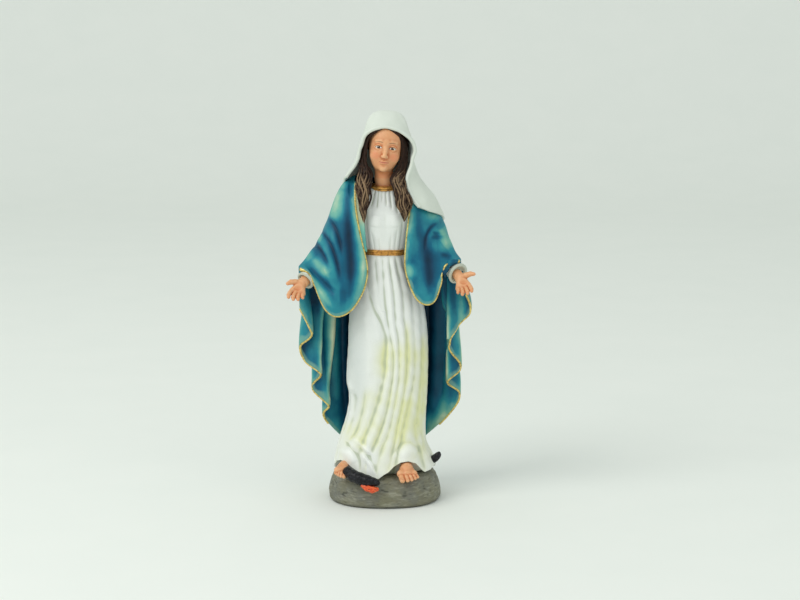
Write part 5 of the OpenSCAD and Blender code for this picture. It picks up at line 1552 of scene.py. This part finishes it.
def makeHair(side, look):
    rng = np.random.default_rng(look["seed"] + (side == "left"))
    guides = look[side]
    solid = Solid()
    n = 170
    t = np.linspace(0, 1, n)
    for layer, count in ((0, look["under"]), (1, look["strands"]), (2, 5)):
        for k in range(count):
            w0 = (k + 0.5) / count if layer < 2 else 0.15 + 0.7 * k / 4
            cross = 0.10 * np.sin(2 * np.pi * (1.25 * t + 0.13 * k + 0.3 * layer)) * smooth(t, 0.35, 0.6)
            w = w0 + cross + 0.03 * rng.normal()
            lift = 0.28 * np.sin(2 * np.pi * (2.6 * t + rng.random())) * smooth(t, 0.3, 0.6)
            lift = lift + (-0.55, 0.0, 0.32)[layer]
            # the lock is thickest in the middle
            swell = np.sqrt(np.clip(1 - (2 * np.clip(w, 0, 1) - 1) ** 2, 0, 1))
            lift = lift + 0.75 * swell * smooth(t, 0.35, 0.6)
            phase, beat = 6.28 * rng.random(), 4.2 + 0.8 * rng.random()
            path, out, full = strandPath(guides, w, t, lift, look["wave"], phase, beat)
            room = np.maximum(full, 1.2) / look["strands"]
            radius = (look["thick"] * 0.45 + room * 0.62) * (1.25, 1.0, 1.0)[layer]
            radius = radius * (0.85 + 0.3 * rng.random())
            radius = radius * (0.55 + 0.45 * rounded(n, 0.05)) * (1 - 0.5 * smooth(t, 0.9, 1.0))
            radius[-1] *= 0.3
            if layer == 2:
                path, radius = path[60:], radius[60:] * 0.8
            rings = tubeRings(path, radius, 10, (0, -1, 0.3), 0.8)
            facing = (unit(rings - path[:, None]) * out[-len(path):, None]).sum(-1)
            fold = 0.55 * facing - 0.25 + (-0.5, 0.0, 0.25)[layer]
            dry = (0.1 + 0.9 * smooth(-rings[..., 2], -174, -164)) * (0.75 + 0.25 * rng.random())
            solid.loft(rings, fold=fold, dry=dry)
    core = spline(guides[1], t)  # a flat core fills the lock behind the strands
    across = spline(guides[2], t) - spline(guides[0], t)
    wide = np.linalg.norm(across, axis=-1)[:, None, None] / 2 * 0.94
    across = unit(across)[:, None]
    ahead = unit(np.gradient(core, axis=0))
    out = np.cross(ahead, across[:, 0])
    a = np.linspace(0, 2 * np.pi, 20, endpoint=False)
    back = out * np.sign((out * [0, -1, 0.25]).sum(-1, keepdims=True)) * -0.7
    size = rounded(n, 0.04)[:, None, None]
    c, n = np.cos(a)[None, :, None], np.sin(a)[None, :, None]
    rings = (core + back)[:, None] + size * (across * wide * c + out[:, None] * 0.85 * n)
    solid.loft(rings, fold=-0.8).build(side + "HairLock", hairFinish, "hair", side + "_hair_lock")


crown = {"centre": [0, -3.0, 183.4], "radii": [10.4, 10.9, 11.2], "groove": 0.22}


def makeCrown(look):  # the combed hair on top, under the veil, parted in the middle
    rows, columns = 120, 260
    lat = np.linspace(0.02, 0.62 * math.pi, rows)[:, None]
    lon = np.linspace(0, 2 * math.pi, columns, endpoint=False)[None]
    way = np.stack([np.sin(lat) * np.cos(lon), np.sin(lat) * np.sin(lon), np.cos(lat) + 0 * lon], -1)
    grid = np.array(look["centre"]) + way * np.array(look["radii"])
    x, y, z = (grid[..., k] for k in range(3))
    strand = np.abs(np.sin(y * 2.2 + np.sign(x) * 0.4 * z)) ** 0.7
    parting = np.exp(-(np.abs(x) / 0.5) ** 1.5) * smooth(-y, -2, 3)
    grid = grid + way * (look["groove"] * strand - 0.7 * parting)[..., None]
    face = smooth(-grid[..., 1], 6.6, 9.2) * smooth(-grid[..., 2], -190.4, -188.2)
    grid[..., 1] += 6.5 * face  # set back behind the brow
    pivot = np.array(head["pivot"])
    grid = rolled(grid - pivot, -math.radians(head["roll"])) + pivot
    Solid().loft(grid, fold=strand * 0.9 - 0.6 - parting,
                 dry=0.1).build("hairCrown", hairFinish, "hair", "hair_cap")


makeHair("right", hair)
makeHair("left", hair)
makeCrown(crown)


snake = {
    "body": [[-16.4, -14, 16.4], [-18.6, -18.6, 17.8], [-18.2, -22.2, 18.0], [-15.8, -25.0, 17.0],
             [-12.4, -27.2, 16.2], [-8.8, -28.4, 15.4], [-6.2, -28.8, 14.8]],
    "radius": [2.1, 2.5, 2.8, 2.9, 2.9, 2.7, 2.3],
    "tail": [[21, -3, 18.4], [24.0, -5.4, 20.2], [26.0, -6.8, 21.8], [27.4, -7.2, 23.4],
             [28.2, -7.2, 25.2]], "tailRadius": [2.1, 2.1, 2.0, 1.7, 0.8],
    "step": 0.22}


# the thick front part with its open mouth, and the tail that comes out at the other side
def makeSnake(look):
    def body(p):
        d = bead(p, look["body"], look["radius"], 1.2)
        d = blend(d, ball(p, (-6.0, -28.8, 14.8), (3.4, 2.6, 2.2)), 0.8)
        d = blend(d, ball(p, (-4.1, -29.1, 14.1), (2.0, 1.7, 1.1)), 0.8)
        d = blend(d, ball(p, (-5.8, -30.7, 15.4), (0.75, 0.6, 0.55)), 0.3)
        d = blend(d, ball(p, (-5.7, -27.4, 15.9), (0.75, 0.6, 0.55)), 0.3)
        d = carve(d, ball(p, (-3.0, -30.7, 14.2), (0.3, 0.3, 0.3)), 0.15)
        d = blend(d, bead(p, [[-11.4, -28.7, 13.6], [-8.8, -29.8, 12.2], [-6.2, -30.3, 11.1]],
                          [1.2, 1.0, 0.6], 0.4), 0.6)
        return carve(d, bead(p, [[-10.2, -30.2, 12.9], [-6.4, -31.4, 12.6], [-1.6, -31.2, 12.5]],
                             [0.5, 1.1, 1.2], 0.3), 0.4)

    points, quads = carved(body, (-23, -33.2, 8), (0, -10, 23), look["step"])
    fold = np.clip(concave(body, points, 0.6), -1.4, 1.4)
    Solid().add(points, quads, fold=fold).build("snakeBody", snakeFinish, "snake_black", "snake_body")

    def mouth(p):
        d = bead(p, [[-10.9, -29.2, 13.1], [-8.6, -30.0, 11.9], [-6.0, -30.4, 11.2], [-3.8, -30.2, 11.4]],
                 [1.1, 1.6, 1.65, 1.1], 0.6)
        d = carve(d, ball(p, (-6.6, -32.0, 12.6), (3.3, 1.1, 1.0)), 0.5)
        return blend(d, bead(p, [[-7.6, -30.3, 12.4], [-5.4, -31.3, 12.3], [-3.6, -31.4, 12.0]],
                             [0.5, 0.42, 0.3], 0.2), 0.2)

    points, quads = carved(mouth, (-14, -33.2, 7), (0, -26.2, 17), look["step"])
    Solid().add(points, quads, fold=0.0).build("snakeMouth", mouthFinish, "snake_mouth", "snake_jaw")
    s = np.linspace(0, 1, 140)
    path = spline(look["tail"], s)
    radius = np.interp(s, np.linspace(0, 1, len(look["tailRadius"])),
                       look["tailRadius"]) * rounded(len(s), 0.14)
    rings = tubeRings(path, radius, 40, (0, -1, 0.2))
    Solid().loft(rings, fold=0.0).build("snakeTail", snakeFinish, "snake_black", "snake_tail")


makeSnake(snake)


studio = {
    "floor": tone(240, 243, 238), "aimX": 0.0079, "aimZ": 0.1028, "distance": 1.02, "elevation": 9.6,
    "lens": 90.0,
    "sky": (0.86, 0.90, 0.88), "skyPower": 0.80, "keyPower": 10.5, "fillPower": 2.4}


def sweepFloor(look):  # a floor that curves up into a backdrop far behind
    rows = [(-3.0, 0), (-1.0, 0), (0.0, 0), (1.2, 0)]
    bend = np.linspace(0.1, math.pi / 2, 14)
    rows += [(1.2 + 0.8 * math.sin(a), 0.8 * (1 - math.cos(a))) for a in bend] + [(2.0, 3.2)]
    xs = np.linspace(-4, 4, 9)
    points = np.array([[(x, y, z) for x in xs] for y, z in rows])
    mesh = bpy.data.meshes.new("studioFloor")
    mesh.from_pydata(points.reshape(-1, 3).tolist(), [], gridFaces(len(rows), len(xs))[:, ::-1].tolist())
    mesh.polygons.foreach_set("use_smooth", np.ones(len(mesh.polygons), bool))
    made = Finish("studioPaper", {"Roughness": 0.75, "Specular IOR Level": 0.2})
    grain = made.noise(0.02, 3, 0.5)
    made.paint("Base Color", made.mix(grain, look["floor"], tone(236, 240, 235)))
    mesh.materials.append(made.material)
    floor = bpy.data.objects.new("studioFloor", mesh)
    bpy.context.scene.collection.objects.link(floor)


def softLight(name, place, aim, size, power, colour):
    lamp = bpy.data.lights.new(name, "AREA")
    lamp.shape, lamp.size, lamp.size_y = "RECTANGLE", size[0], size[1]
    lamp.energy, lamp.color = power, colour
    thing = bpy.data.objects.new(name, lamp)
    thing.location = place
    thing.rotation_euler = (Vector(aim) - Vector(place)).to_track_quat("-Z", "Y").to_euler()
    bpy.context.scene.collection.objects.link(thing)


sweepFloor(studio)
softLight("windowLight", (-0.95, -0.75, 1.15), (0, 0, 0.09), (0.9, 0.9), studio["keyPower"], (1.0, 1.0, 0.98))
softLight("fillLight", (1.1, -1.1, 0.6), (0, 0, 0.1), (1.0, 1.0), studio["fillPower"], (0.97, 0.99, 1.0))
world = bpy.data.worlds.new("studioSky")
bpy.context.scene.world = world
world.use_nodes = True
world.node_tree.nodes["Background"].inputs["Color"].default_value = (*studio["sky"], 1)
world.node_tree.nodes["Background"].inputs["Strength"].default_value = studio["skyPower"]

camera = bpy.data.objects.new("camera", bpy.data.cameras.new("camera"))
camera.data.sensor_width = 36
camera.data.lens = studio["lens"]
tilt = math.radians(studio["elevation"])
aim = Vector((studio["aimX"], 0, studio["aimZ"]))
camera.location = aim + studio["distance"] * Vector((0, -math.cos(tilt), math.sin(tilt)))
camera.rotation_euler = (aim - camera.location).to_track_quat("-Z", "Y").to_euler()
bpy.context.scene.collection.objects.link(camera)
bpy.context.scene.camera = camera
bpy.context.scene.view_settings.view_transform = "Standard"
print("studio ready")
